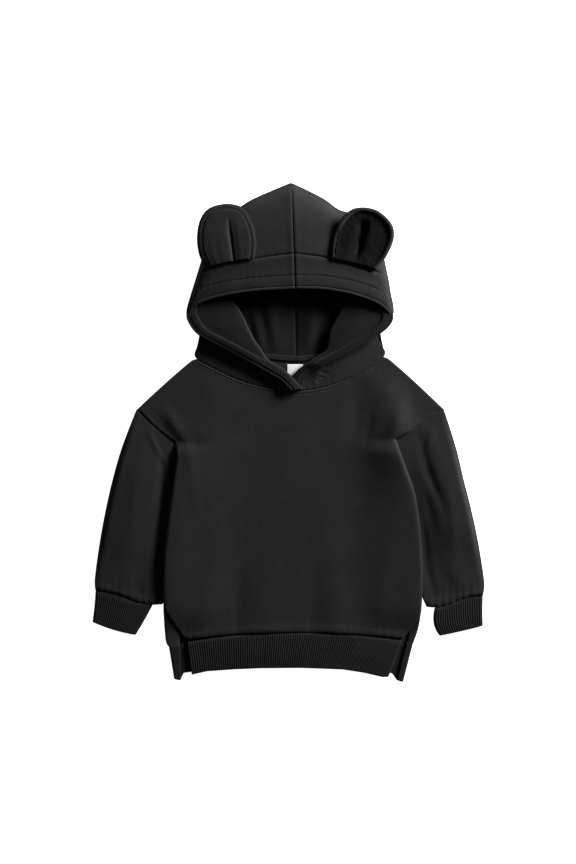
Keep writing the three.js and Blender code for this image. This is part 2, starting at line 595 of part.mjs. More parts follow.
function frontRib() {
  const sheet = ribSheet(FRONT_RIB);
  const ribs = Math.round((FRONT_RIB.topRight[0] - FRONT_RIB.topLeft[0]) / RIB_PITCH);
  const rows = [0, 1 - SEAM_GAP / RIB_DEPTH].map((v) =>
    spread(2 * ribs).map((u) => {
      const [x, y] = sheet(u, v);
      return new THREE.Vector3(x, y, FRONT_LEVEL);
    }),
  );
  return wall(rows, { over: (i, j) => ribFace(j), under: RIB_CLOTH / 2 });
}

function backRib() {
  const rib = BACK_RIB;
  const sheet = ribSheet(rib);
  const rows = [0, 0.15, 0.5, 1 - SEAM_GAP / RIB_DEPTH].map((v) => {
    const [x0, y0] = sheet(0, v);
    const [x1, y1] = sheet(1, v);
    const width = Math.hypot(x1 - x0, y1 - y0);
    const [left, right] = [rib.stripLeft, rib.stripRight].map((strip) =>
      backEdge(lerp(strip.bottom, strip.top, v), SEAM_GAP / 2).map(sideTurn),
    );
    const from = left.at(-1).inward;
    const to = width - right.at(-1).inward;
    const middle = spread(24).slice(1, -1).map((s) => ({ inward: lerp(from, to, s), z: BACK_LEVEL }));
    const mirrored = right.reverse().map(({ inward, z }) => ({ inward: width - inward, z }));
    return [...left, ...middle, ...mirrored].map(({ inward, z }) => {
      const [x, y] = sheet(inward / width, v);
      return new THREE.Vector3(x, y, z);
    });
  });
  return wall(rows, { over: RIB_CLOTH / 2, under: RIB_CLOTH / 2 });
}

// Sleeves and cuffs

// The ring of a flattened tube: the top from the outer edge to the inner, then the bottom back again.
function flatRing(line, { top, bottom, level, inset, puff = 0 }) {
  const [[outerX, outerY], [innerX, innerY]] = [line(0), line(1)];
  const width = Math.hypot(innerX - outerX, innerY - outerY);
  const radius = (level - BACK_LEVEL) / 2;
  const middle = BACK_LEVEL + radius;
  const from = inset;
  const to = width - inset;
  const points = [];
  const add = (inward, z) => {
    const [x, y] = line(inward / width);
    points.push(new THREE.Vector3(x, y, z));
  };
  const upper = spread(top).slice(1, -1);
  const lower = spread(bottom).slice(1, -1);
  for (const s of [0, 0.25, 0.5, 0.75, 1]) {
    const angle = -Math.PI / 2 - s * Math.PI;
    add(from + radius + radius * Math.cos(angle), middle + radius * Math.sin(angle));
  }
  for (const s of upper) {
    const swell = puff * smoothstep(s, 0, 0.3) * (1 - smoothstep(s, 0.5, 0.78));
    add(lerp(from + radius, to - radius, s), level + swell);
  }
  for (const s of [0, 0.25, 0.5, 0.75, 1]) {
    const angle = Math.PI / 2 - s * Math.PI;
    add(to - radius + radius * Math.cos(angle), middle + radius * Math.sin(angle));
  }
  for (const s of lower) add(lerp(to - radius, from + radius, s), BACK_LEVEL);
  return points;
}

// The line across a sleeve or cuff at a place in its table.
function lineOf({ outerX, outerY, innerX, innerY, bow, skew }) {
  return bowedLine([outerX, outerY], [innerX, innerY], bow, skew);
}

function sleeve(table) {
  const last = table.length - 1;
  const rows = spread(SLEEVE_ROWS).map((s) => {
    const row = tableAt(table, lerp(ARMHOLE_START, last - CUFF_SEAM_START, s));
    return flatRing(lineOf(row), { top: 9, bottom: 5, level: SLEEVE_LEVEL, inset: FLEECE / 2, puff: row.puff });
  });
  return wall(isLeft(table) ? rows.reverse() : rows, { ring: true });
}

function isLeft(table) {
  return table[0].outerX < 0;
}

function cuff(sleeveTable, table) {
  const seam = lineOf(sleeveTable.at(-1));
  const below = (share) => {
    const [x, y] = seam(share * CUFF_SHARE);
    return [x, y - CUFF_GAP];
  };
  const [[x0, y0], [x1, y1]] = [below(0), below(1)];
  const ribs = Math.round(Math.hypot(x1 - x0, y1 - y0) / RIB_PITCH);
  const top = 2 * ribs;
  const rows = [below, ...table.map(lineOf)].map((line) =>
    flatRing(line, { top, bottom: 8, level: SLEEVE_LEVEL, inset: FLEECE / 2 }),
  );
  const over = (i, j) => (j > 4 && j < 4 + top ? ribFace(j) : RIB_CLOTH / 2);
  return wall(isLeft(table) ? rows.reverse() : rows, { ring: true, over, under: RIB_CLOTH / 2 });
}

// Hood

// The bag's points: rows are stations from the centre seam to the side, columns run from the opening's edge.
function bagRows(table, stations) {
  const fall = (along) => {
    const curve = new THREE.SplineCurve(CROWN_FALL.map((row) => new THREE.Vector2(row.along, row.height)));
    const points = curve.getPoints(60);
    const next = points.findIndex((p) => p.x >= along);
    if (next <= 0) return points[Math.max(next, 0)].y;
    const [a, b] = [points[next - 1], points[next]];
    return lerp(a.y, b.y, (along - a.x) / (b.x - a.x));
  };
  return spread(stations).map((s) => {
    const row = tableAt(table, s * (table.length - 1));
    const outX = row.foldX - row.rimX;
    const outY = row.foldY - row.rimY;
    const length = Math.hypot(outX, outY);
    const radius = (row.fold - BACK_LEVEL) / 2;
    const points = [];
    const crownEnd = 1 - (radius + FLEECE / 2) / length;
    const hemShare = Math.min(0.8, HEM_DEPTH / length);
    const shares = [0, hemShare / 2, hemShare, ...spread(5).slice(1).map((k) => lerp(hemShare, 1, k))];
    for (const share of shares) {
      const z = row.fold + (row.rise - row.fold) * fall(share);
      const place = share * crownEnd;
      points.push(new THREE.Vector3(row.rimX + outX * place, row.rimY + outY * place, z));
    }
    const centreX = row.rimX + outX * crownEnd;
    const centreY = row.rimY + outY * crownEnd;
    for (const turn of [0.25, 0.5, 0.75]) {
      const angle = Math.PI / 2 - turn * Math.PI;
      const reach = (radius * Math.cos(angle)) / length;
      const z = BACK_LEVEL + radius + radius * Math.sin(angle);
      points.push(new THREE.Vector3(centreX + outX * reach, centreY + outY * reach, z));
    }
    for (const k of spread(4)) {
      const tuck = row.tuck * 4 * k * (1 - k);
      points.push(
        new THREE.Vector3(lerp(centreX, row.backX, k) + tuck, lerp(centreY, row.backY, k), BACK_LEVEL),
      );
    }
    return points;
  });
}

// The lapel's points: rows are stations from the throat up, columns run from the neck seam to the edge.
function lapelRows(table, stations) {
  return spread(stations).map((s) => {
    const row = tableAt(table, s * (table.length - 1));
    const inX = row.rollX - row.seamX;
    const inY = row.rollY - row.seamY;
    const inLength = Math.hypot(inX, inY);
    const outX = row.rimX - row.rollX;
    const outY = row.rimY - row.rollY;
    const outLength = Math.hypot(outX, outY);
    const towards = new THREE.Vector2(inX / inLength - outX / outLength, inY / inLength - outY / outLength);
    towards.normalize();
    const radius = (row.high - row.low) / 2;
    const centre = new THREE.Vector2(row.rollX, row.rollY).addScaledVector(towards, -radius);
    const points = [];
    for (const k of [0, 0.3, 0.65]) {
      const rise = smoothstep(k, 0, 1);
      points.push(
        new THREE.Vector3(
          lerp(row.seamX, centre.x, k),
          lerp(row.seamY + NECK_EASE, centre.y, k),
          lerp(row.seamZ, row.low, rise),
        ),
      );
    }
    for (const turn of [0, 0.25, 0.5, 0.75, 1]) {
      const angle = -Math.PI / 2 + turn * Math.PI;
      const p = centre.clone().addScaledVector(towards, radius * Math.cos(angle));
      points.push(new THREE.Vector3(p.x, p.y, row.low + radius + radius * Math.sin(angle)));
    }
    const hemShare = Math.max(0.2, 1 - HEM_DEPTH / outLength);
    for (const k of [hemShare / 2, hemShare, (1 + hemShare) / 2, 1]) {
      const swell = 1.2 * 4 * k * (1 - k) * Math.min(1, outLength / 40);
      points.push(
        new THREE.Vector3(
          lerp(centre.x, row.rimX, k),
          lerp(centre.y, row.rimY, k),
          lerp(row.high, row.rimZ, k) + swell,
        ),
      );
    }
    return points;
  });
}

function hoodHalf(bagTable, lapelTable, onRight) {
  const bag = bagRows(bagTable, 16);
  const lapel = lapelRows(lapelTable, 22);
  if (onRight) [bag, lapel].forEach((rows) => rows.reverse());
  const outer = FLEECE / 2;
  const bagSolid = toSolid(
    wall(bag, { over: outer, under: (i, j) => outer + (j <= 2 ? TURNED_HEM : 0) }),
  );
  const lapelHem = (i, j) => {
    const station = onRight ? lapel.length - 1 - i : i;
    const clear = onRight && station < 9 ? 0 : 1;
    return outer + (j >= 9 ? TURNED_HEM * clear : 0);
  };
  const lapelSolid = toSolid(wall(lapel, { over: outer, under: lapelHem }));
  return { solid: bagSolid.add(lapelSolid).simplify(JOIN_TOLERANCE), bag };
}

// Ears

// Height of a grid of points at [x, y], the highest where it lies over itself.
function heightAt(rows, x, y) {
  let best = null;
  const area = (a, b, c) => (b.x - a.x) * (c.y - a.y) - (c.x - a.x) * (b.y - a.y);
  const target = { x, y };
  for (let i = 0; i < rows.length - 1; i++) {
    for (let j = 0; j < rows[0].length - 1; j++) {
      const corners = [rows[i][j], rows[i][j + 1], rows[i + 1][j + 1], rows[i + 1][j]];
      for (const [a, b, c] of [
        [corners[0], corners[1], corners[2]],
        [corners[0], corners[2], corners[3]],
      ]) {
        const whole = area(a, b, c);
        if (Math.abs(whole) < 1e-6) continue;
        const wa = area(target, b, c) / whole;
        const wb = area(a, target, c) / whole;
        const wc = 1 - wa - wb;
        if (Math.min(wa, wb, wc) < -1e-4) continue;
        const z = wa * a.z + wb * b.z + wc * c.z;
        if (best === null || z > best) best = z;
      }
    }
  }
  return best;
}

function earSheet(ear, crown, inset, lift) {
  const around = smoothLine(ear.outline);
  const start = around(0);
  const end = around(1);
  const slice = (from, to) => (share) => around(lerp(from, to, share));
  const sheet = patch({
    bottom: bowedLine(start, end, 2),
    top: slice(0.3, 0.7),
    left: slice(0, 0.3),
    right: slice(1, 0.7),
  });
  const margin = inset / 70;
  const rows = spread(EAR_ROWS).map((v) =>
    spread(EAR_COLUMNS).map((u) => {
      const across = lerp(margin, 1 - margin, u);
      const up = lerp(0.02, 1 - margin, v);
      const [x, y] = sheet(across, up);
      const [bx, by] = sheet(across, 0);
      const base = heightAt(crown, bx, by) + FLEECE + 0.6;
      const away = (x - ear.crease.x) / ear.crease.halfWidth;
      const length = smoothstep(up, 0, 0.3) * (1 - smoothstep(up, 0.6, 1));
      const crease = ear.crease.depth * Math.exp(-away * away) * length;
      const under = heightAt(crown, x, y) ?? 0;
      const fall = lerp(base, ear.tip, (smoothstep(up, 0, 1) + up) / 2);
      return new THREE.Vector3(x, y, Math.max(fall - crease, under + FLEECE + 0.6) + lift);
    }),
  );
  return rows;
}

function earLayer(ear, crown, inset, lift) {
  return wall(earSheet(ear, crown, inset, lift), { over: EAR_CLOTH / 2, under: EAR_CLOTH / 2 });
}

function neckLabel() {
  const rows = [LABEL.bottom, LABEL.top].map((y) =>
    [LABEL.left, LABEL.right].map((x) => new THREE.Vector3(x, y, LABEL.z)),
  );
  return wall(rows, { over: LABEL_CLOTH / 2, under: LABEL_CLOTH / 2 });
}

// The whole garment

const left = hoodHalf(BAG_LEFT, LAPEL_LEFT, false);
const right = hoodHalf(BAG_RIGHT, LAPEL_RIGHT, true);
const upper = EAR_CLOTH + EAR_LAYER_GAP;

const hoodie = new THREE.Group();
hoodie.add(
  piece(
    "front_panel",
    bodyPanel({ isFront: true, seamRise: FRONT_SEAM_RISE, neckSeam: NECK_SEAM, columns: 16, yokeRows: 5 }),
    FLEECE_BLACK,
  ),
  piece(
    "back_panel",
    bodyPanel({ isFront: false, seamRise: BACK_SEAM_RISE, neckSeam: NAPE_SEAM, columns: 12, yokeRows: 5 }),
    FLEECE_BLACK,
  ),
  piece("hem_rib_front", frontRib(), RIB_BLACK),
  piece("hem_rib_back", backRib(), RIB_BLACK),
  piece("sleeve_left", sleeve(SLEEVE_LEFT), FLEECE_BLACK),
  piece("sleeve_right", sleeve(SLEEVE_RIGHT), FLEECE_BLACK),
  piece("cuff_left", cuff(SLEEVE_LEFT, CUFF_LEFT), RIB_BLACK),
  piece("cuff_right", cuff(SLEEVE_RIGHT, CUFF_RIGHT), RIB_BLACK),
  piece("hood_left", toGeometry(left.solid), FLEECE_BLACK),
  piece("hood_right", toGeometry(right.solid), FLEECE_BLACK),
  piece("ear_left_outer", earLayer(EAR_LEFT, left.bag, 0, upper), FLEECE_BLACK),
  piece("ear_left_lining", earLayer(EAR_LEFT, left.bag, EAR_RIM / 3, 0), PLUSH_BLACK),
  piece("ear_right_outer", earLayer(EAR_RIGHT, right.bag, 0, 0), FLEECE_BLACK),
  piece("ear_right_lining", earLayer(EAR_RIGHT, right.bag, EAR_RIM, upper), PLUSH_BLACK),
  piece("neck_label", neckLabel(), LABEL_GREY),
);

// The origin is the middle of the garment's box, on the surface that it lies on.
const box = new THREE.Box3().setFromObject(hoodie);
hoodie.position.set(-(box.min.x + box.max.x) / 2, -(box.min.y + box.max.y) / 2, -box.min.z);

export default hoodie;
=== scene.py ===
"""A toddler's fleece hoodie with bear ears, laid flat on its back and seen from straight above.

Every piece of cloth is a grid of points in the middle of the cloth, worked out from the short tables below,
thickened to a wall along its normals and rounded by one subdivision. The tables hold millimetres on the
garment's own chart: X across, Y from the hem up to the hood, Z up from the floor.
"""

from types import SimpleNamespace

import bpy
import numpy as np
from bpy.props import FloatProperty, FloatVectorProperty, PointerProperty
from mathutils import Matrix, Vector
from mathutils.kdtree import KDTree


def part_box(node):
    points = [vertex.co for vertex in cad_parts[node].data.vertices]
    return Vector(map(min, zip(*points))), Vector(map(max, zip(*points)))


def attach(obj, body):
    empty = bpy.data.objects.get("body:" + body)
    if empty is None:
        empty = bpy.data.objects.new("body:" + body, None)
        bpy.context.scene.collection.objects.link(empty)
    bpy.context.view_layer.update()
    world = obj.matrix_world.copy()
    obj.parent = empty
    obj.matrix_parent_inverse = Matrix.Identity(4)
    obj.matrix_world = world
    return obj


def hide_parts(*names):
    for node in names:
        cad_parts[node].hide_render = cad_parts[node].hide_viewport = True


bl_info = {
    "name": "Toddler hoodie",
    "version": (1, 0, 0),
    "blender": (4, 5, 0),
    "location": "View3D > Sidebar > Hoodie",
    "description": "Builds a child's fleece hoodie with bear ears, laid flat, around its packed solids",
    "category": "Object",
}

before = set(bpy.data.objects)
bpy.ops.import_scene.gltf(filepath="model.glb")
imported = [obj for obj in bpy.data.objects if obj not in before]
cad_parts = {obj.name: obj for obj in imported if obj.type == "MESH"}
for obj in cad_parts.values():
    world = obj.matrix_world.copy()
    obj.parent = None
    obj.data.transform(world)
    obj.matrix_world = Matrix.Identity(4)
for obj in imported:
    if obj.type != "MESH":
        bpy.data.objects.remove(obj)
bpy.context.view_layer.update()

# Cloth
FLEECE = 2.0  # one layer of brushed fleece
HEM_EXTRA = 1.8  # what the turned hem of the hood opening adds on its inner side
HEM_DEPTH = 17.0
RIB_CLOTH = 1.8
RIB_PITCH = 3.0
RIB_HEIGHT = 0.6
EAR_CLOTH = 1.6
EAR_LIFT = 2.2  # from one layer of an ear to the next
NECK_EASE = 0.4

# Heights of the middle of the cloth above the floor
BACK_LEVEL = 1.0
FRONT_LEVEL = 4.0
SIDE_LEVEL = (BACK_LEVEL + FRONT_LEVEL) / 2
SIDE_RADIUS = (FRONT_LEVEL - BACK_LEVEL) / 2
TURN_REACH = SIDE_RADIUS + FLEECE / 2
QUARTER_TURN = SIDE_RADIUS * np.pi / 2
SLEEVE_LEVEL = 3.8
OVER_SLEEVE = 5.4  # how far the body's sides are lifted to lie on the sleeves
OVERLAP = 13.0  # how far the sleeves reach under the body

# Seams in the finished cloth
SEAM_GAP = -0.5  # the pieces reach this far into each other
SEAM_DIP = 1.0  # how far the cloth rolls down into a seam
SEAM_ROLL = 1.5  # over what width
STITCH_DIP = 0.5
STITCH_WIDTH = 0.75


def smoothstep(x, low, high):
    t = np.clip((np.asarray(x, float) - low) / (high - low), 0, 1)
    return t * t * (3 - 2 * t)


def hump(x, width):
    return np.exp(-((np.asarray(x, float) / width) ** 2))


def mix(a, b, share):
    return a + (b - a) * np.asarray(share)[..., None]


def through(rows, place):
    """Smooth values through the rows of a table, row numbers from 0."""
    last = len(rows) - 1
    place = np.clip(np.asarray(place, float), 0, last)
    low = np.minimum(place.astype(int), last - 1)
    t = (place - low)[..., None]
    p0, p1, p2, p3 = (rows[np.clip(low + step, 0, last)] for step in (-1, 0, 1, 2))
    v0, v1 = (p2 - p0) / 2, (p3 - p1) / 2
    return (2 * p1 - 2 * p2 + v0 + v1) * t**3 + (3 * p2 - 3 * p1 - 2 * v0 - v1) * t**2 + v0 * t + p1


class Chart:
    """A short table with named columns, read smoothly between its rows."""

    def __init__(self, names, *rows):
        self.names = names.split()
        self.rows = np.array(rows, float)

    def at(self, place):
        values = through(self.rows, place)
        return SimpleNamespace(**dict(zip(self.names, np.moveaxis(values, -1, 0), strict=True)))

    @property
    def last(self):
        return len(self.rows) - 1


# Corners of the body, seen from the front
SHOULDER_LEFT = (-197.9, 29.9)
SHOULDER_RIGHT = (200.2, 31)
NECK_LEFT = (-124.5, 95.5)
NECK_RIGHT = (126.4, 98.5)
UNDERARM_LEFT = (-148.5, -13)
UNDERARM_RIGHT = (138.8, -7.8)

# Sides of the body from the underarm to the rib seams: the front ends in the last row but one. The last two
# values are how far in from the edge each panel ends on the front, where the back wraps round it.
SIDE_LEFT = Chart(
    "x y front back",
    (-148.5, -13, 0, 0),
    (-146.8, -31, 0, 0),
    (-149.8, -54, 0, 0),
    (-153.5, -81, 0, 0),
    (-158, -114, 0, 0),
    (-162.6, -152, 0, 0),
    (-164.4, -189, 0, 0),
    (-163.5, -223, 0, 0),
    (-162.6, -243, 10, 10),
    (-161.6, -260, 19.5, 19.5),
    (-160, -273, 27.5, 18),
    (-156.5, -279, 30, 14.5),
)
SIDE_RIGHT = Chart(
    "x y front back",
    (138.8, -7.8, 0, 0),
    (146.6, -32, 0, 0),
    (155.3, -56, 0, 0),
    (163.1, -79, 0, 0),
    (168.5, -114, 0, 0),
    (171.6, -152, 0, 0),
    (173.1, -189, 0, 0),
    (172.1, -223, 0, 0),
    (169.6, -245, 4, 4),
    (167, -258, 10.5, 10.5),
    (162.5, -271, 16.5, 8.5),
    (160.8, -275, 18, 8.3),
)
SLIT_TOP = 9
# The row where the side seam turns over the edge, over how many rows, and its room
SEAM_LEAVES = (7.2, 0.4, 0.45)
SLANT = 1.2

# Seams that run across
FRONT_SEAM_RISE = 11
BACK_SEAM_RISE = 12.1
ARMHOLE_BOW = -3
SHOULDER_BOW = 1
NECK_SEAM = (NECK_LEFT, (-96.5, 81), (-64, 66.3), (-25, 56), (12, 53), (53, 59.8), (92, 76), NECK_RIGHT)
NAPE_SEAM = (NECK_LEFT, (-70, 95.2), (-30, 94.2), (9, 91.3), (35, 93.6), (72, 96.4), NECK_RIGHT)
SHOULDER_SHARE = 0.2  # of the width at the top, on each side

# Hem ribs: the ends of the seam, its rise, the edge from left to right, and how far the back one wraps round
FRONT_RIB = SimpleNamespace(
    left=(-132.5, -273),
    right=(146, -271),
    rise=11,
    edge=((-126.5, -315), (-107, -310.6), (-71, -308), (-35, -306.6), (14, -306.2), (43, -307.2), (70, -308.3),
          (97, -312.5), (121, -318), (128.5, -318)),
)
BACK_RIB = SimpleNamespace(
    left=(-156.3, -279.3),
    right=(160.7, -275.3),
    rise=12.1,
    edge=((-149.5, -320.5), (-141.5, -322.5), (-137.5, -313), (-126, -311.5), (-60, -305.5), (14, -304),
          (60, -305), (97, -309), (134, -313.5), (139.5, -322), (148, -325)),
    strips=((8, 14.3), (7.5, 8)),
)
RIB_DEPTH = 44.0

# Sleeves from the armhole to the cuff, and cuffs below their seam
SLEEVE_NAMES = "outerX outerY innerX innerY bow skew puff"
SLEEVE_LEFT = Chart(
    SLEEVE_NAMES,
    (-197.9, 29.9, -149.2, -13.6, -3, 0, 0),
    (-206, 10, -147.6, -31, -2, 0, 0.5),
    (-218, -22, -137.5, -60, 0, 0, 1.5),
    (-228.2, -57, -141, -90, 0, 0, 2),
    (-236.5, -92, -145.5, -118, 0, 0, 2),
    (-243, -125, -149.6, -150, 0, 0, 2),
    (-248.7, -160, -152.4, -182, -2, 0, 1.5),
    (-252.6, -192, -158, -208, -4, 1.5, 1),
    (-251.6, -206.5, -164.4, -223.5, -2.5, 2.8, 0),
)
SLEEVE_RIGHT = Chart(
    SLEEVE_NAMES,
    (200.2, 31, 138.8, -7.8, 3, 0, 0),
    (208, 8, 147.4, -32, 2, 0, 0.5),
    (218, -25, 144, -60, 0, 0, 1.5),
    (227, -63, 151, -88, 0, 0, 2),
    (234, -90, 155.6, -114, 0, 0, 2),
    (242, -125, 159, -148, 0, 0, 2),
    (249, -163, 161.5, -180, 0, 0, 1.5),
    (253.6, -197, 169, -205, 1, -1.5, 1),
    (251.6, -213, 178.4, -227, 1.5, -2.8, 0),
)
CUFF_SHARE = 0.86
CUFF_LEFT = Chart(
    "outerX outerY innerX innerY bow skew",
    (-253.2, -228, -189.5, -247, -2, 1),
    (-255.6, -246.5, -199.5, -263.5, -2, 0),
)
CUFF_RIGHT = Chart(
    "outerX outerY innerX innerY bow skew",
    (251.2, -232, 187.5, -248, 1, -1),
    (251.6, -251.5, 195.5, -264.4, 0.5, 0),
)

# Hood, the bag: from the opening's edge over the crown, round the fold at the outline, to the nape
BAG_NAMES = "rimX rimY rise foldX foldY fold backX backY tuck"
BAG_LEFT = Chart(
    BAG_NAMES,
    (7.3, 184.5, 25, 2.6, 324.2, 4.4, 8.7, 91.9, 0),
    (-34, 182.2, 24.5, -44.5, 304, 4.8, -30, 94.8, 0),
    (-56, 180, 23.6, -63, 293, 5, -50, 95.6, 0),
    (-77, 176.8, 22.5, -84.5, 281, 5.4, -70, 96, 0),
    (-100, 171.5, 20.5, -108.2, 236.6, 7, -105, 96.4, 2),
    (-115, 166, 19, -120.5, 199.8, 9.5, -122.5, 99, 7),
    (-124, 160.5, 17.5, -128, 176, 12, -115, 120, 3),
    (-128, 155.5, 16.5, -132.3, 162, 13, -117.5, 142, 0),
    (-129.6, 151, 15.5, -133.6, 153.5, 13, -122, 152, 0),
)
BAG_RIGHT = Chart(
    BAG_NAMES,
    (7.7, 184.5, 25, 3.4, 323.6, 4.4, 9.3, 92.3, 0),
    (40, 184, 24.5, 42, 304.6, 4.8, 35, 94.2, 0),
    (59, 181.5, 23.6, 63, 289.8, 5, 54, 95.8, 0),
    (77, 178.2, 22.5, 88.5, 279, 5.4, 72, 97.2, 0),
    (98, 172.2, 20.5, 116, 246, 7, 105, 98.6, -2),
    (114, 165.5, 19, 127.5, 203, 9.5, 124.5, 101, -8),
    (124, 158.5, 17.5, 131.5, 180, 12, 114.5, 121, -3),
    (129, 153, 16.5, 134.6, 166, 13, 118.5, 142, 0),
    (130.8, 148.5, 15.5, 135.6, 155, 13, 123, 152, 0),
)
CROWN_FALL = ((0, 1), (0.15, 0.98), (0.3, 0.95), (0.5, 0.89), (0.7, 0.78), (0.85, 0.57), (0.94, 0.3), (1, 0))
# The seam from ear to ear across the crown
EAR_SEAM = ((-128, 200), (-107.3, 208.4), (-72.7, 216.1), (-42.3, 219.3), (-22.8, 221.4), (5.3, 221.4),
            (53, 218.4), (74.7, 214.9), (113.7, 206.3), (132, 199))
EAR_SEAM_END = 4.6  # the bag's row where that seam reaches the outline

# Hood, the bands: from the neck seam inwards to the roll and turned back out to the opening's edge
LAPEL_NAMES = "seamX seamY seamZ rollX rollY low high rimX rimY rimZ"
LAPEL_LEFT = Chart(
    LAPEL_NAMES,
    (12, 53.4, 8.8, 17, 55.5, 8.8, 11.1, 2, 53.4, 11.1),
    (8, 53.4, 8.8, 11, 62, 8.8, 11.3, -2, 58, 11.2),
    (-4, 54, 7, 1, 73, 8.7, 11.4, -11, 67, 10.6),
    (-25, 56.4, 4, -12, 84, 8, 11.4, -25, 75, 10.4),
    (-48, 61.4, 4, -28, 94, 6.6, 10.8, -42, 85, 10.6),
    (-73, 70.4, 4, -37, 107, 6.6, 10.8, -60, 95, 11),
    (-99, 82.6, 3.8, -46, 120, 6.8, 11, -78, 105, 11.5),
    (-122.5, 98.5, 3, -54, 136, 7, 11, -99, 116, 12),
    (-115, 121, 2.05, -61, 151, 7, 11, -118.5, 126.5, 12.4),
    (-118, 146, 2.05, -69, 164, 7, 11, -130.5, 142, 12.6),
    (-124, 164, 2.05, -80, 178, 7, 11, -132.6, 155, 13),
    (-119, 186, 2.05, -89, 194, 5, 9, -125, 178, 10),
)
LAPEL_RIGHT = Chart(
    LAPEL_NAMES,
    (10.5, 53.4, 4, 7, 56, 4, 6.4, 17, 54.4, 6.4),
    (15, 53.6, 4, 6, 63, 4, 6.4, 18, 62, 6.4),
    (26, 54.8, 4, 6, 71, 4, 6.4, 21, 70, 6.6),
    (40, 57.2, 4, 11, 79, 4.4, 7, 27, 77, 8),
    (56, 61.2, 4, 21, 87, 5.5, 9, 37, 83, 9.5),
    (74, 68.2, 4, 33, 95, 6.5, 10.5, 53, 91, 10.5),
    (97, 79.4, 3.8, 47, 105, 6.8, 11, 72, 101, 11),
    (124.5, 100.5, 3, 51, 118, 7, 11, 93, 113, 11.5),
    (114.5, 122, 2.05, 54, 133, 7, 11, 117, 126.5, 12),
    (119, 146, 2.05, 62, 148, 7, 11, 131, 139, 12.4),
    (125, 164, 2.05, 70, 162, 7, 11, 134.4, 152, 13),
    (119, 186, 2.05, 82, 185, 5, 9, 127, 176, 10),
)
CLEAR_ROWS = 4.5  # rows of the right band that lie under the left one, where its hem isn't doubled

# Ears: the outline from one end of the base round the top to the other, and the crease from the top down
EAR_LEFT = SimpleNamespace(
    outline=((-107.5, 211), (-116, 228), (-119, 251), (-115, 274), (-103, 289), (-80, 294.5), (-60, 289),
             (-48, 271), (-42.5, 246), (-44.5, 221.5)),
    crease=((-79.6, 282), (-78.3, 260), (-75, 240), (-71.6, 214)),
    tip=22,
)
EAR_RIGHT = SimpleNamespace(
    outline=((54.5, 220.5), (56.5, 244), (64, 269), (78, 285), (94, 289.5), (114, 285), (131, 269),
             (134.5, 250), (126, 228), (112.5, 208.5)),
    crease=((95, 277), (93, 260), (88, 240), (80, 212)),
    tip=24,
)
EAR_RIM = 6.0

LABEL = SimpleNamespace(left=-3, right=18, bottom=71.5, top=88, z=2.55, cloth=0.5)

# The chart's place in the frame comes from the label, which lies flat on the back panel
LABEL_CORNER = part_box("neck_label")[0]
SHIFT = np.array([LABEL_CORNER.x * 1000 - LABEL.left, LABEL_CORNER.y * 1000 - LABEL.bottom, 0.0])


# Lines seen from above


def smooth_line(points):
    """A smooth line through [x, y] points, read by its share of length."""
    dense = through(np.array(points, float), np.linspace(0, len(points) - 1, 400))
    length = np.concatenate([[0], np.cumsum(np.linalg.norm(np.diff(dense, axis=0), axis=1))])

    def line(share):
        want = np.clip(share, 0, 1) * length[-1]
        return np.stack([np.interp(want, length, dense[:, k]) for k in (0, 1)], -1)

    return line


def bowed_line(start, end, bow=0.0, skew=0.0):
    """A line whose middle is moved to its left by bow, and its first half further by skew."""
    start, end = np.array(start, float), np.array(end, float)
    way = end - start
    left = np.array([-way[1], way[0]]) / np.hypot(*way)

    def line(share):
        share = np.asarray(share, float)
        sway = bow * 4 * share * (1 - share) + skew * np.sin(2 * np.pi * share)
        return start + way * share[..., None] + left * sway[..., None]

    return line


def line_across(points):
    """A line through points from left to right, read by its share of the way across."""
    x, y = np.array(points, float).T

    def line(share):
        at = x[0] + (x[-1] - x[0]) * np.clip(share, 0, 1)
        return np.stack([at, np.interp(at, x, y)], -1)

    return line


def patch(bottom, top, left, right):
    """The surface between four lines: u runs along bottom and top, v up the left and right."""

    def surface(u, v):
        u, v = np.broadcast_arrays(np.asarray(u, float), np.asarray(v, float))
        across = mix(left(v), right(v), u)
        up = mix(bottom(u), top(u), v)
        corners = mix(mix(bottom(0.0), bottom(1.0), u), mix(top(0.0), top(1.0), u), v)
        return across + up - corners

    return surface


def lengths(points, axis=0):
    """Distance along a line or grid of points from its first one."""
    step = np.linalg.norm(np.diff(points, axis=axis), axis=-1)
    total = np.cumsum(step, axis=axis)
    return np.concatenate([np.zeros_like(total.take([0], axis)), total], axis)


def near_line(x, y, points):
    """Distance from a line of straight stretches, positive on its left, and the share of the line beside."""
    ends = np.array(points, float)
    whole = lengths(ends)
    best = np.full(np.shape(x), 1e9)
    side, along = np.zeros(np.shape(x)), np.zeros(np.shape(x))
    for (x0, y0), (x1, y1), before in zip(ends, ends[1:], whole, strict=False):
        size = np.hypot(x1 - x0, y1 - y0)
        tx, ty = (x1 - x0) / size, (y1 - y0) / size
        t = np.clip((x - x0) * tx + (y - y0) * ty, 0, size)
        away = np.hypot(x - x0 - t * tx, y - y0 - t * ty)
        cross = tx * (y - y0) - ty * (x - x0)
        closer = away < best
        best = np.where(closer, away, best)
        side = np.where(closer, np.sign(cross) * away, side)
        along = np.where(closer, (before + t) / whole[-1], along)
    return side, along


def wander(x, seed):
    """A slow uneven wave between about -1 and 1."""
    slow, quick = np.sin(x * 0.61 + seed), np.sin(x * 2.83 + 3.7 * seed) * 0.4
    return (slow + np.sin(x * 1.37 + 2.1 * seed) * 0.6 + quick) / 2


def pucker(along, away, seed, depth=0.28, pitch=8.5, reach=7.0):
    """The little waves that a seam draws into the cloth beside it."""
    phase = 2 * np.pi * along / pitch + 1.8 * wander(along / 9, seed)
    strength = 0.7 + 0.5 * wander(along / 23, seed + 4)
    return depth * np.sin(phase) * np.exp(-np.abs(away) / reach) * strength


def seam_fall(away):
    return -SEAM_DIP * hump(away, SEAM_ROLL)


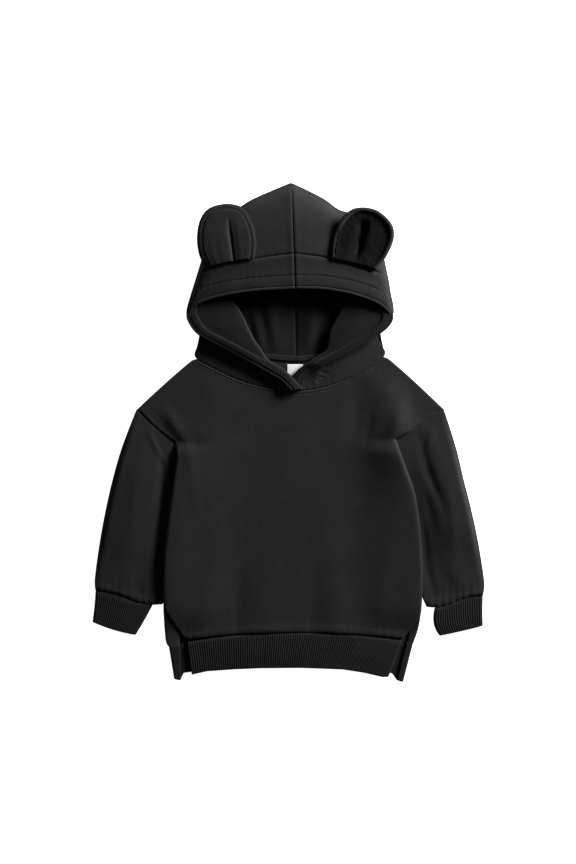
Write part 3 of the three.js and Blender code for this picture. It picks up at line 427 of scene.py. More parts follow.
def stitch_fall(away):
    return -STITCH_DIP * hump(away, STITCH_WIDTH)


# Walls of cloth


def directions(points, axis, ring=False):
    """Directions of a grid's lines along one axis, from the bend of the points beside each one."""
    p = np.moveaxis(points, axis, 0)
    if ring:
        ahead, behind = np.roll(p, -1, 0) - p, p - np.roll(p, 1, 0)
    else:
        step = np.diff(p, axis=0)
        ahead, behind = np.concatenate([step, step[-1:]]), np.concatenate([step[:1], step])
    ahead_size = np.linalg.norm(ahead, axis=-1, keepdims=True) + 1e-9
    behind_size = np.linalg.norm(behind, axis=-1, keepdims=True) + 1e-9
    ahead, behind = ahead / ahead_size, behind / behind_size
    way = (ahead * behind_size + behind * ahead_size) / (ahead_size + behind_size)
    if not ring:
        way[0] = ahead[0] + (ahead[0] - ahead[1]) * ahead_size[0] / (ahead_size[0] + ahead_size[1])
        last = behind_size[-1] / (behind_size[-1] + behind_size[-2])
        way[-1] = behind[-1] + (behind[-1] - behind[-2]) * last
    return np.moveaxis(way, 0, axis)


def normals_of(rows, ring=False):
    normals = np.cross(directions(rows, 1, ring), directions(rows, 0))
    return normals / (np.linalg.norm(normals, axis=-1, keepdims=True) + 1e-12)


def edge_taper(rows, ring, radius=1.0, least=0.3):
    """How full the wall is beside its own edges, so that they come out round."""
    down = lengths(rows, 0)
    away = np.minimum(down, down[-1:] - down)
    if not ring:
        across = lengths(rows, 1)
        away = np.minimum(away, np.minimum(across, across[:, -1:] - across))
    t = np.clip(away / radius, 0, 1)
    return least + (1 - least) * np.sqrt(1 - (1 - t) ** 2)


def wall(rows, over=FLEECE / 2, under=FLEECE / 2, ring=False, taper=True):
    """The two faces of a wall of cloth, from the grid of points in its middle."""
    normals = normals_of(rows, ring)
    full = edge_taper(rows, ring) if taper else np.ones(rows.shape[:2])
    top = rows + normals * (np.broadcast_to(over, full.shape) * full)[..., None]
    bottom = rows - normals * (np.broadcast_to(under, full.shape) * full)[..., None]
    return top, bottom


def cloth_mesh(name, top, bottom, ring=False, inner=None):
    """A closed mesh of a wall's two faces and its edges. Its UV map is the cloth's own plane, in metres.

    inner says where the lower face is the inside of the cloth, from 0 to 1; the material darkens it there as
    painted shade.
    """
    high, wide = top.shape[:2]
    columns = wide if ring else wide - 1
    i, j = (a.ravel() for a in np.meshgrid(np.arange(high - 1), np.arange(columns), indexing="ij"))
    k, m = np.arange(columns), np.arange(high - 1)

    def corner(face, row, column):
        return face * high * wide + row * wide + column % wide

    def quads(*corners):
        return np.stack([np.stack(np.broadcast_arrays(*c), -1) for c in corners], 1)

    parts = [
        quads((0, i, j), (0, i, j + 1), (0, i + 1, j + 1), (0, i + 1, j)),
        quads((1, i, j), (1, i + 1, j), (1, i + 1, j + 1), (1, i, j + 1)),
        quads((0, 0, k), (1, 0, k), (1, 0, k + 1), (0, 0, k + 1)),
        quads((0, high - 1, k + 1), (1, high - 1, k + 1), (1, high - 1, k), (0, high - 1, k)),
    ]
    if not ring:
        parts.append(quads((0, m + 1, 0), (1, m + 1, 0), (1, m, 0), (0, m, 0)))
        end = wide - 1
        parts.append(quads((0, m, end), (1, m, end), (1, m + 1, end), (0, m + 1, end)))
    corners = np.concatenate(parts)
    faces = corner(corners[..., 0], corners[..., 1], corners[..., 2])
    points = (np.concatenate([top.reshape(-1, 3), bottom.reshape(-1, 3)]) + SHIFT) / 1000
    mesh = bpy.data.meshes.new(name)
    mesh.from_pydata(points.tolist(), [], faces.tolist())

    middle_row, middle_column = top[high // 2], top[:, wide // 2]
    if ring:
        middle_row = np.concatenate([middle_row, middle_row[:1]])
    u, v = lengths(middle_row) / 1000, lengths(middle_column) / 1000
    uv = np.stack([u[corners[..., 2]], v[corners[..., 1]]], -1)
    mesh.uv_layers.new(name="cloth").data.foreach_set("uv", uv.astype(np.float32).ravel())
    if inner is not None:
        marks = np.concatenate([np.zeros(high * wide), np.broadcast_to(inner, (high, wide)).ravel()])
        mesh.attributes.new("inner", "FLOAT", "POINT").data.foreach_set("value", marks.astype(np.float32))
    return mesh


def add_piece(name, mesh, look, stands_for=(), slot=None, levels=1):
    """A mesh as a finished piece: rounded by subdivision, smooth, in its material, riding on the garment."""
    bpy.ops.object.select_all(action="DESELECT")
    piece = bpy.data.objects.new(name, mesh)
    bpy.context.scene.collection.objects.link(piece)
    bpy.context.view_layer.objects.active = piece
    piece.select_set(True)
    if levels:
        rounding = piece.modifiers.new("rounding", "SUBSURF")
        rounding.levels = rounding.render_levels = levels
        bpy.ops.object.modifier_apply(modifier=rounding.name)
    bpy.ops.object.shade_smooth()
    mesh = piece.data
    mesh.materials.clear()
    mesh.materials.append(look)
    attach(piece, "root")
    if stands_for:
        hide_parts(*stands_for)
    return piece


# Threads


def thread_run(path, up, pitch=3.0, stitch=2.2, radius=0.3):
    """Points and faces of stitches in a row along a path on the cloth, each a short bridge of thread."""
    along = lengths(path)
    count = max(2, int(along[-1] / pitch))
    places = (np.arange(count) + 0.5) * along[-1] / count
    centre = np.stack([np.interp(places, along, path[:, k]) for k in range(3)], -1)
    ahead = np.stack([np.interp(places + 0.5, along, path[:, k]) for k in range(3)], -1)
    behind = np.stack([np.interp(places - 0.5, along, path[:, k]) for k in range(3)], -1)
    normal = np.stack([np.interp(places, along, up[:, k]) for k in range(3)], -1)
    return bridges(centre, ahead - behind, normal, stitch, radius)


def bridges(centre, way, normal, stitch, radius):
    """Points and faces of thread bridges at given places, directions and normals of the cloth."""
    way = way / (np.linalg.norm(way, axis=-1, keepdims=True) + 1e-9)
    side = np.cross(normal, way)
    side /= np.linalg.norm(side, axis=-1, keepdims=True) + 1e-9
    up = np.cross(way, side)
    ring_along = np.array([-0.5, -0.3, 0.0, 0.3, 0.5]) * stitch
    ring_up = np.array([-0.5, 0.25, 0.45, 0.25, -0.5]) * radius
    ring_size = np.array([0.55, 0.95, 1.0, 0.95, 0.55]) * radius
    turn = np.arange(5) * 2 * np.pi / 5
    points = (
        centre[:, None, None]
        + way[:, None, None] * ring_along[None, :, None, None]
        + up[:, None, None] * (ring_up[:, None] + ring_size[:, None] * np.sin(turn))[None, ..., None]
        + side[:, None, None] * (ring_size[:, None] * np.cos(turn))[None, ..., None]
    )
    rings, sides = len(ring_along), len(turn)
    base = np.arange(len(centre))[:, None] * rings * sides
    faces = []
    for r in range(rings - 1):
        for s in range(sides):
            t = (s + 1) % sides
            quad = [r * sides + s, r * sides + t, (r + 1) * sides + t, (r + 1) * sides + s]
            faces += (base + np.array(quad[::-1])).tolist()
    faces += (base + np.arange(sides)).tolist()
    faces += (base + (rings - 1) * sides + np.arange(sides)[::-1]).tolist()
    return points.reshape(-1, 3), faces


def thread_piece(name, runs, look):
    """Several runs of stitches as one piece."""
    points, faces, start = [], [], 0
    for run_points, run_faces in runs:
        points.append(run_points)
        faces += [[start + v for v in face] for face in run_faces]
        start += len(run_points)
    mesh = bpy.data.meshes.new(name)
    mesh.from_pydata(((np.concatenate(points) + SHIFT) / 1000).tolist(), [], faces)
    return add_piece(name, mesh, look, levels=0)


# Materials


def socket_group(name, inputs, outputs):
    """An empty shader group with named inputs and outputs, and its two end nodes."""
    group = bpy.data.node_groups.new(name, "ShaderNodeTree")
    for title, kind, default in inputs:
        made = group.interface.new_socket(name=title, in_out="INPUT", socket_type=kind)
        if default is not None:
            made.default_value = default
    for title, kind in outputs:
        group.interface.new_socket(name=title, in_out="OUTPUT", socket_type=kind)
    return group, group.nodes.new("NodeGroupInput"), group.nodes.new("NodeGroupOutput")


def noise(nodes, links, vector, scale, detail=3.0, roughness=0.55):
    made = nodes.new("ShaderNodeTexNoise")
    made.inputs["Scale"].default_value = scale
    made.inputs["Detail"].default_value = detail
    made.inputs["Roughness"].default_value = roughness
    links.new(vector, made.inputs["Vector"])
    return made.outputs["Fac"]


def calc(nodes, links, operation, first, second):
    made = nodes.new("ShaderNodeMath")
    made.operation = operation
    for socket, value in zip(made.inputs, (first, second), strict=False):
        if isinstance(value, (int, float)):
            socket.default_value = value
        else:
            links.new(value, socket)
    return made.outputs[0]


INSIDE_SHADE_DIM = 0.36  # how far the inside face of the fleece is darkened, painted shade for the hood's shaded inside and bands


def nap_group():
    """The brushed surface of fleece: fine hairs and small clumps, a tone that varies with them, and painted shade
    that darkens the marked inside face.
    """
    name = "Brushed nap"
    if name in bpy.data.node_groups:
        return bpy.data.node_groups[name]
    group, inside, out = socket_group(
        name,
        [("Vector", "NodeSocketVector", None), ("Colour", "NodeSocketColor", None),
         ("Clumps", "NodeSocketFloat", 420.0), ("Mottle", "NodeSocketFloat", 0.25),
         ("Shaded inside", "NodeSocketFloat", 0.0)],
        [("Height", "NodeSocketFloat"), ("Colour", "NodeSocketColor")],
    )
    nodes, links = group.nodes, group.links
    vector = inside.outputs["Vector"]
    clumps = noise(nodes, links, vector, 420.0, 4.0, 0.6)
    links.new(inside.outputs["Clumps"], clumps.node.inputs["Scale"])
    hairs = noise(nodes, links, vector, 1900.0, 2.0, 0.7)
    broad = noise(nodes, links, vector, 42.0, 3.0, 0.6)
    height = calc(nodes, links, "ADD", calc(nodes, links, "MULTIPLY", clumps, 0.7),
                  calc(nodes, links, "MULTIPLY", hairs, 0.3))
    links.new(height, out.inputs["Height"])
    shade = calc(nodes, links, "ADD", calc(nodes, links, "MULTIPLY", clumps, 0.6),
                 calc(nodes, links, "MULTIPLY", broad, 0.4))
    swing = calc(nodes, links, "SUBTRACT", shade, 0.5)
    swing = calc(nodes, links, "MULTIPLY", swing, inside.outputs["Mottle"])
    gain = calc(nodes, links, "ADD", calc(nodes, links, "MULTIPLY", swing, 4.0), 1.0)
    # Painted shade: the marked inside face of the cloth is darkened here.
    dimmed = calc(nodes, links, "MULTIPLY", inside.outputs["Shaded inside"], INSIDE_SHADE_DIM)
    dimmed = calc(nodes, links, "SUBTRACT", 1.0, dimmed)
    gain = calc(nodes, links, "MULTIPLY", gain, dimmed)
    scale = nodes.new("ShaderNodeVectorMath")
    scale.operation = "SCALE"
    links.new(inside.outputs["Colour"], scale.inputs[0])
    links.new(gain, scale.inputs["Scale"])
    links.new(scale.outputs["Vector"], out.inputs["Colour"])
    return group


def cloth_material(name, colour, roughness, sheen, bump, clumps, mottle, knit=0.0):
    """A cloth with the brushed nap, and where knit is more than 0 the little courses of a knitted rib."""
    look = bpy.data.materials.get(name) or bpy.data.materials.new(name)
    look.use_nodes = True
    nodes, links = look.node_tree.nodes, look.node_tree.links
    nodes.clear()
    out = nodes.new("ShaderNodeOutputMaterial")
    shader = nodes.new("ShaderNodeBsdfPrincipled")
    shader.inputs["Roughness"].default_value = roughness
    shader.inputs["Specular IOR Level"].default_value = 0.02
    shader.inputs["Sheen Weight"].default_value = sheen
    shader.inputs["Sheen Roughness"].default_value = 0.6
    places = nodes.new("ShaderNodeTexCoord")
    nap = nodes.new("ShaderNodeGroup")
    nap.node_tree = nap_group()
    nap.inputs["Colour"].default_value = (*colour, 1)
    nap.inputs["Clumps"].default_value = clumps
    nap.inputs["Mottle"].default_value = mottle
    links.new(places.outputs["Object"], nap.inputs["Vector"])
    # The inner mark says where the painted shade on the inside face goes.
    marks = nodes.new("ShaderNodeAttribute")
    marks.attribute_name = "inner"
    links.new(marks.outputs["Fac"], nap.inputs["Shaded inside"])
    height = nap.outputs["Height"]
    if knit:
        wave = nodes.new("ShaderNodeTexWave")
        wave.bands_direction = "Y"
        wave.inputs["Scale"].default_value = knit
        wave.inputs["Distortion"].default_value = 1.5
        wave.inputs["Detail"].default_value = 2.0
        links.new(places.outputs["UV"], wave.inputs["Vector"])
        height = calc(nodes, links, "ADD", calc(nodes, links, "MULTIPLY", wave.outputs["Fac"], 0.6), height)
    relief = nodes.new("ShaderNodeBump")
    relief.inputs["Strength"].default_value = 0.6
    relief.inputs["Distance"].default_value = bump
    links.new(height, relief.inputs["Height"])
    links.new(nap.outputs["Colour"], shader.inputs["Base Color"])
    links.new(relief.outputs["Normal"], shader.inputs["Normal"])
    links.new(shader.outputs["BSDF"], out.inputs["Surface"])
    return look


def looks():
    """The garment's materials, by name."""
    sizes = bpy.context.scene.hoodie
    return SimpleNamespace(
        fleece=cloth_material("Black fleece", sizes.fleece, 0.95, 0.05, sizes.nap / 1000, 420, 0.25),
        rib=cloth_material("Black rib", sizes.rib, 0.95, 0.06, 0.00025, 700, 0.3, knit=250),
        plush=cloth_material("Black plush", sizes.plush, 1.0, 0.03, 0.0009, 260, 0.5),
        thread=cloth_material("Black thread", sizes.thread, 0.55, 0.0, 0.00005, 1500, 0.1),
        label=cloth_material("Grey label tape", sizes.label, 0.5, 0.0, 0.00006, 1500, 0.1, knit=500),
    )


# Body


def side_turn(place):
    """A point of the turned side, by its place along the cloth: 0 outermost, negative on the front."""
    angle = np.clip(place / SIDE_RADIUS, -np.pi / 2, np.pi / 2)
    flat = np.maximum(0, np.abs(place) - QUARTER_TURN)
    return TURN_REACH - SIDE_RADIUS * np.cos(angle) + flat, SIDE_LEVEL - SIDE_RADIUS * np.sin(angle)


def seam_place(seam):
    if seam < TURN_REACH:
        return -QUARTER_TURN * seam / TURN_REACH
    return -(QUARTER_TURN + seam - TURN_REACH)


FRONT_STEPS = np.array([0, 0.3, 0.8, 1.5, 2.4, 3.6, 5.5, 8])
BACK_PLACES = (*np.linspace(-QUARTER_TURN, QUARTER_TURN, 8), 3.5, 5.5, 8)


def front_edge(seam, gap):
    return seam_place(seam) - gap - FRONT_STEPS


def back_edge(seam, gap):
    places = [seam_place(seam) + gap]
    for place in BACK_PLACES:
        places.append(max(place, places[-1] + 0.3))
    return np.array(places)


def side_lift(inward, y, is_front):
    """How far the body is lifted where its sides lie on the sleeves. The front rises sooner, falls slower."""
    hem = 1 - smoothstep(-y, 226, 264)
    at_side = smoothstep(-y, 10, 30)
    if not is_front:
        return OVER_SLEEVE * hem * at_side * (1 - smoothstep(inward, OVERLAP + 5, OVERLAP + 55))
    yoke = smoothstep(-y, -42, 28) * (smoothstep(inward, 0, 60) * (1 - at_side) + at_side)
    return OVER_SLEEVE * hem * yoke * (1 - smoothstep(inward, 4, 104))


# Soft folds of the front: place, width across, length, lean to the right going up, height
FRONT_FOLDS = (
    (-149, 10, 8, 20, -0.55, 2.4),
    (140, 14, 8, 24, 0.35, 2.4),
    (88, 20, 14, 50, 0.12, -1.6),
    (96, -60, 18, 70, 0.15, -0.8),
    (-30, -235, 22, 60, 0.1, 1.6),
    (60, -225, 18, 55, -0.1, 1.8),
    (-105, -210, 18, 70, 0.1, 1.6),
    (-60, 20, 30, 50, 0.5, 1.0),
    (-98, 38, 26, 45, 0.2, 1.8),
    (-128, -40, 7, 60, -0.15, 0.9),
    (30, -240, 9, 45, 0.05, -0.8),
    (-66, -225, 8, 55, 0.04, -0.9),
    (103, 8, 6, 26, 0.2, -1.0),
    (122, -200, 12, 60, 0.1, 0.8),
    (-5, -60, 26, 60, 0.3, 0.5),
    (-95, -110, 20, 70, -0.15, 0.6),
    (50, -120, 24, 60, -0.2, 0.6),
)


# Rolls along the sides of the front: crest, heights along it, reach to the left and right of the crest
SIDE_ROLLS = (
    (((-128, 48), (-139, 25), (-146, -5), (-148, -50), (-154, -114), (-157, -180), (-152, -240)),
     (0.3, 0.8, 1.6, 2, 2, 2, 1.2), (20, 34)),
    (((118, 62), (132, 40), (140, 15), (144, -12), (152, -50), (162, -114), (165, -170), (160, -235)),
     (2, 6.5, 7, 4, 1.6, 0.7, 0.7, 0.5), (34, 18)),
)


def side_rolls(x, y):
    total = np.zeros(np.shape(x))
    for crest, heights, (left, right) in SIDE_ROLLS:
        upwards = crest[::-1]
        side, along = near_line(x, y, upwards)
        height = np.interp(along, np.linspace(0, 1, len(heights)), heights[::-1])
        total = total + height * hump(side, np.where(side > 0, left, right))
    return total


def front_folds(x, y):
    total = np.zeros(np.shape(x))
    for at_x, at_y, wide, long, lean, height in FRONT_FOLDS:
        up = (y - at_y) / long
        across = (x - at_x - (y - at_y) * lean) / wide
        total = total + height * np.exp(-across * across - up * up)
    return total + 0.22 * wander(x / 19 + y / 61, 2.0) * wander(y / 37 - x / 83, 5.0)


PANEL_SHAPES = {
    True: (FRONT_SEAM_RISE, NECK_SEAM, (12, 44), 22),
    False: (BACK_SEAM_RISE, NAPE_SEAM, (8, 26), 13),
}
EDGE_DISTANCES = (9, 7, 5.6, 4.8, 4.2, 3.7, 3.1, 2.2, 1.4, 0.7, 0.25, SEAM_GAP / 2)


def body_panel(is_front):
    """The middle of the front or back panel, from its rib seam up to the shoulders and neck."""
    rise, neck, (outer_columns, inner_columns), yoke_count = PANEL_SHAPES[is_front]
    level = FRONT_LEVEL if is_front else BACK_LEVEL
    last = SIDE_LEFT.last - (1 if is_front else 0)

    def side_line(side):
        def line(v):
            row = side.at(last * (1 - np.asarray(v, float)))
            return np.stack([row.x, row.y], -1)

        return line

    left_side, right_side = side_line(SIDE_LEFT), side_line(SIDE_RIGHT)
    lower = patch(
        bottom=bowed_line(left_side(0.0), right_side(0.0), rise),
        top=bowed_line(UNDERARM_LEFT, UNDERARM_RIGHT),
        left=left_side,
        right=right_side,
    )
    left_shoulder = bowed_line(SHOULDER_LEFT, NECK_LEFT, SHOULDER_BOW)
    right_shoulder = bowed_line(NECK_RIGHT, SHOULDER_RIGHT, SHOULDER_BOW)
    neck_line = smooth_line(neck)

    def top_line(u):
        u = np.asarray(u, float)
        share = SHOULDER_SHARE
        on_left, on_right = (u <= share)[..., None], (u >= 1 - share)[..., None]
        middle = neck_line((u - share) / (1 - 2 * share))
        sides = np.where(on_right, right_shoulder(np.clip((u - 1 + share) / share, 0, 1)), middle)
        return np.where(on_left, left_shoulder(np.clip(u / share, 0, 1)), sides)

    yoke = patch(
        bottom=bowed_line(UNDERARM_LEFT, UNDERARM_RIGHT),
        top=top_line,
        left=bowed_line(UNDERARM_LEFT, SHOULDER_LEFT, -ARMHOLE_BOW),
        right=bowed_line(UNDERARM_RIGHT, SHOULDER_RIGHT, ARMHOLE_BOW),
    )

    def turned(places, curl):
        inward, z = side_turn(places)
        return np.abs(places) + (inward - np.abs(places)) * curl, level + (z - level) * curl

    def row(at, v, edges, curl, sink=None):
        start, end = at(np.array([0.0, 1.0]), v)
        width = np.hypot(*(end - start))
        (left_in, left_z), (right_in, right_z) = (turned(edge, curl) for edge in edges)
        marks = (left_in[-1], SHOULDER_SHARE * width, (1 - SHOULDER_SHARE) * width, width - right_in[-1])
        counts = (outer_columns, inner_columns, outer_columns)
        middle = [np.linspace(a, b, n + 1)[1:] for a, b, n in zip(marks, marks[1:], counts, strict=False)]
        middle = np.concatenate(middle)[:-1]
        inward = np.concatenate([left_in, middle, width - right_in[::-1]])
        z = np.concatenate([left_z, np.full(len(middle), level), right_z[::-1]])
        u = inward / width
        xy = at(u, v)
        x, y = xy[:, 0], xy[:, 1]
        z = z + side_lift(inward, y, is_front) + side_lift(width - inward, y, is_front)
        edge = np.minimum(inward, width - inward)
        if is_front:
            round_edge = 1 - (1 - np.clip(edge / 5, 0, 1)) ** 2
            z = z + front_folds(x, y) * smoothstep(edge, 0, 12) + side_rolls(x, y) * round_edge
        if sink is not None:
            z = z - sink(u)
        return np.stack([x, y, z], -1)

    rows = []
    fine = np.array([0, 0.02, 0.05, 0.1, 0.17, 0.26, 0.38, 0.55])
    below = np.linspace(7, 0, 52 if is_front else 30)[1:]
    steps = np.concatenate([last - fine, np.linspace(last - 0.75, 7, 15), below])
    for step in steps:
        leaves, over_rows, ease = SEAM_LEAVES
        turn = np.exp(-(((step - leaves) / over_rows) ** 2))
        edges = []
        for side in (SIDE_LEFT, SIDE_RIGHT):
            at_side = side.at(step)
            seam = max(0.0, float(at_side.front if is_front or step <= SLIT_TOP else at_side.back))
            gap = SEAM_GAP / 2 + ease * turn + (0.06 if seam > 0 else 0)
            edges.append((front_edge if is_front else back_edge)(seam, gap))
        rows.append(row(lower, 1 - step / last, edges, float(smoothstep(step, 0, 0.5))))

    flat_edge = np.abs((front_edge if is_front else back_edge)(0, 0.2))
    flat_edge = np.maximum.accumulate(flat_edge + np.arange(len(flat_edge)) * 0.01)
    flat_edge[0] = SEAM_GAP / 2

    def on_shoulder(u):
        return 1 - smoothstep(np.minimum(u, 1 - u), SHOULDER_SHARE, SHOULDER_SHARE + 0.01)

    def below_edge(u, distance):
        height = np.linalg.norm(yoke(u, 1.0) - yoke(u, 0.0), axis=-1)
        return 1 - (distance + FLEECE / 2 * on_shoulder(u)) * SLANT / height

    places = [lambda u, v=v: np.full(np.shape(u), v) for v in np.linspace(0, 0.66, yoke_count + 1)[1:]]
    for share in (0.25, 0.5, 0.75):
        places.append(lambda u, share=share: 0.66 + (below_edge(u, EDGE_DISTANCES[0]) - 0.66) * share)
    plain = len(places)
    places += [lambda u, d=d: below_edge(u, d) for d in EDGE_DISTANCES]
    for index, place in enumerate(places):
        distance = EDGE_DISTANCES[index - plain] if index >= plain else 99.0

        def sink(u, distance=distance):
            off = np.clip(SIDE_RADIUS - distance, 0, SIDE_RADIUS)
            turn = SIDE_RADIUS - np.sqrt(SIDE_RADIUS**2 - off**2)
            return (1 if is_front else -1) * on_shoulder(u) * turn

        def at(u, v, place=place):
            return yoke(u, place(u))

        rows.append(row(at, 1.0, [flat_edge, flat_edge], 0.0, sink))
    return np.array(rows)


def front_relief(rows):
    """What the seams do to the front panel: rolled edges, little waves, the ridge and stitches at the neck."""
    down, across = lengths(rows, 0), lengths(rows, 1)
    from_hem, from_top = down, down[-1:] - down
    from_left, from_right = across, across[:, -1:] - across
    x, y = rows[..., 0], rows[..., 1]
    columns = np.arange(rows.shape[1])
    corners = len(FRONT_STEPS) - 1 + PANEL_SHAPES[True][2][0]
    from_end = rows.shape[1] - 1 - columns
    neck = smoothstep(columns, corners - 1, corners + 1) * smoothstep(from_end, corners - 1, corners + 1)
    change = seam_fall(from_hem) + 0.9 * hump(from_hem - 5, 4.5) + pucker(x, from_hem, 1.0, 0.4, 9.5, 12)
    at_neck = 0.55 * hump(from_top - 2.0, 1.3) + stitch_fall(from_top - 4.2) + seam_fall(from_top)
    change = change + neck * at_neck
    change = change + neck * pucker(x, from_top, 3.0, 0.22, 8.0, 8)
    arm = smoothstep(y, -14, -4)
    for away, seed in ((from_left, 7.0), (from_right, 9.0)):
        at_arm = seam_fall(away) + 0.5 * hump(away - 3.5, 2.2) + pucker(y, away, seed, 0.3, 9, 9)
        change = change + arm * at_arm
    moved = rows.copy()
    moved[..., 2] += change
    return moved


class HOODIE_OT_body(bpy.types.Operator):
    """Lay the front and back panels on each other, with the stitches under the neck seam"""

    bl_idname = "hoodie.body"
    bl_label = "Body panels"

    def execute(self, context):
        look = looks()
        back = wall(body_panel(False))
        back_piece = add_piece(
            "back_panel_cloth", cloth_mesh("back_panel_cloth", *back), look.fleece, ["back_panel"], "fleece"
        )
        front_rows = front_relief(body_panel(True))
        front = wall(front_rows)
        front_piece = add_piece(
            "front_panel_cloth", cloth_mesh("front_panel_cloth", *front), look.fleece, ["front_panel"], "fleece"
        )
        stitched = len(EDGE_DISTANCES) - 1 - EDGE_DISTANCES.index(4.2)
        line = front[0][-1 - stitched]
        up = normals_of(front_rows)[-1 - stitched]
        corner = len(FRONT_STEPS) + PANEL_SHAPES[True][2][0]
        run = thread_run(line[corner:-corner] + (0, 0, 0.1), up[corner:-corner])
        thread_piece("neck_topstitch", [run], look.thread)
        return {"FINISHED"}


# Ribs


def rib_columns(width):
    """Places across a ribbed piece and the height of the ribs there, six points to a rib."""
    ribs = max(1, round(width / RIB_PITCH))
    phase = np.linspace(0, ribs, ribs * 6 + 1)
    height = RIB_HEIGHT * (0.5 - 0.5 * np.cos(2 * np.pi * phase)) ** 0.75
    return phase / ribs, height


def rib_patch(rib):
    return patch(
        bottom=line_across(rib.edge),
        top=bowed_line(rib.left, rib.right, rib.rise),
        left=bowed_line(rib.edge[0], rib.left),
        right=bowed_line(rib.edge[-1], rib.right),
    )


RIB_ROWS = np.array([0, 0.4, 1.2, 2.6, 5, 9, 14, 20, 26, 32, 37, 40, 42, 43, 43.8, 44.4]) / RIB_DEPTH


def front_rib():
    sheet = rib_patch(FRONT_RIB)
    across, height = rib_columns(FRONT_RIB.right[0] - FRONT_RIB.left[0])
    v = RIB_ROWS[:, None]
    xy = sheet(across[None, :], v)
    depth = v * RIB_DEPTH
    z = FRONT_LEVEL + 0.5 * hump(depth - 22, 16) + 0.35 * wander(xy[..., 0] / 17, 3) * hump(depth - 24, 18)
    z = z + seam_fall(RIB_DEPTH - depth) + 0 * xy[..., 0]
    rows = np.concatenate([xy, z[..., None]], -1)
    soft = 1 - 0.75 * hump(RIB_DEPTH - depth, 1.6) - 0.6 * hump(depth, 1.0)
    return wall(rows, RIB_CLOTH / 2 + height[None, :] * soft, RIB_CLOTH / 2)


def back_rib():
    """The back rib, which wraps round the sides. It is plain: little of it shows beside the front rib."""
    sheet = rib_patch(BACK_RIB)
    rows = []
    for v in RIB_ROWS:
        start, end = sheet(np.array([0.0, 1.0]), v)
        width = np.hypot(*(end - start))
        sides = []
        for low, high in BACK_RIB.strips:
            strip = low + (high - low) * v
            places = seam_place(strip) + SEAM_GAP / 2 + np.linspace(0, strip + 10, 40)
            sides.append(side_turn(places))
        (left_in, left_z), (right_in, right_z) = sides
        middle = np.linspace(left_in[-1], width - right_in[-1], 120)[1:-1]
        inward = np.concatenate([left_in, middle, width - right_in[::-1]])
        z = np.concatenate([left_z, np.full(len(middle), BACK_LEVEL), right_z[::-1]])
        rows.append(np.concatenate([sheet(inward / width, v), z[:, None]], -1))
    return wall(np.array(rows), RIB_CLOTH / 2, RIB_CLOTH / 2)


class HOODIE_OT_hem_ribs(bpy.types.Operator):
    """Add the ribbed hem, front and back, open at the side slits"""

    bl_idname = "hoodie.hem_ribs"
    bl_label = "Hem ribs"

    def execute(self, context):
        look = looks()
        for name, node, faces, flat in (
            ("hem_rib_front_cloth", "hem_rib_front", front_rib(), (0.272, 0.054)),
            ("hem_rib_back_cloth", "hem_rib_back", back_rib(), (0.33, 0.048)),
        ):
            piece = add_piece(name, cloth_mesh(name, *faces), look.rib, [node], "rib", levels=0)
        return {"FINISHED"}


# Sleeves and cuffs


def flat_ring(line, top, bottom, puff=0.0, sag=None):
    """The ring of a flattened tube: the top from the outer edge to the inner, then the bottom back again."""
    start, end = line(0.0), line(1.0)
    width = np.hypot(*(end - start))
    radius = (SLEEVE_LEVEL - BACK_LEVEL) / 2
    low, high = FLEECE / 2 + radius, width - FLEECE / 2 - radius
    turn = np.linspace(0, np.pi, 9)
    over = np.array(top)[1:-1]
    under = np.linspace(0, 1, bottom + 1)[1:-1]
    swell = puff * (1 - (1 - np.clip(over / 0.07, 0, 1)) ** 2) * (1 - smoothstep(over, 0.28, 0.96))
    if sag is not None:
        swell = swell + sag(over)
    inward = np.concatenate([low - radius * np.sin(turn), low + (high - low) * over,
                             high + radius * np.sin(turn), high + (low - high) * under])
    middle = BACK_LEVEL + radius
    z = np.concatenate([middle - radius * np.cos(turn), SLEEVE_LEVEL + swell,
                        middle + radius * np.cos(turn), np.full(len(under), BACK_LEVEL)])
    return np.concatenate([line(inward / width), z[:, None]], -1)


def line_of(row):
    return bowed_line((row.outerX, row.outerY), (row.innerX, row.innerY), row.bow, row.skew)


# Hollows and ridges on a sleeve: row, share of the way across, their reach in rows and shares, lean, height
SLEEVE_FOLDS = {
    "left": (
        (2.6, 0.72, 1.2, 0.07, 0.05, -1.6),
        (1.2, 0.55, 0.5, 0.08, 0.3, 1.0),
        (4.5, 0.78, 1.8, 0.06, 0.0, -1.3),
        (6.8, 0.4, 0.7, 0.1, -0.1, 0.8),
        (7.0, 0.62, 0.5, 0.06, 0.1, -0.7),
        (3.4, 0.35, 1.4, 0.08, 0.05, 0.6),
    ),
    "right": (
        (2.3, 0.52, 1.4, 0.08, -0.05, -1.8),
        (1.0, 0.4, 0.5, 0.09, 0.2, 1.0),
        (5.5, 0.82, 1.3, 0.07, 0.0, -1.6),
        (3.8, 0.66, 1.2, 0.09, 0.0, -0.8),
        (6.5, 0.4, 0.8, 0.12, -0.1, 0.9),
        (4.2, 0.3, 1.4, 0.08, 0.05, 0.5),
    ),
}


SLEEVE_PUFF = {"left": 2.0, "right": 3.4}  # how much fuller the sleeves are than their table says
ARMHOLE_REACH = 1.2
UNDERARM_REACH = 4.0  # how far the sleeve runs on below the body just under the armhole


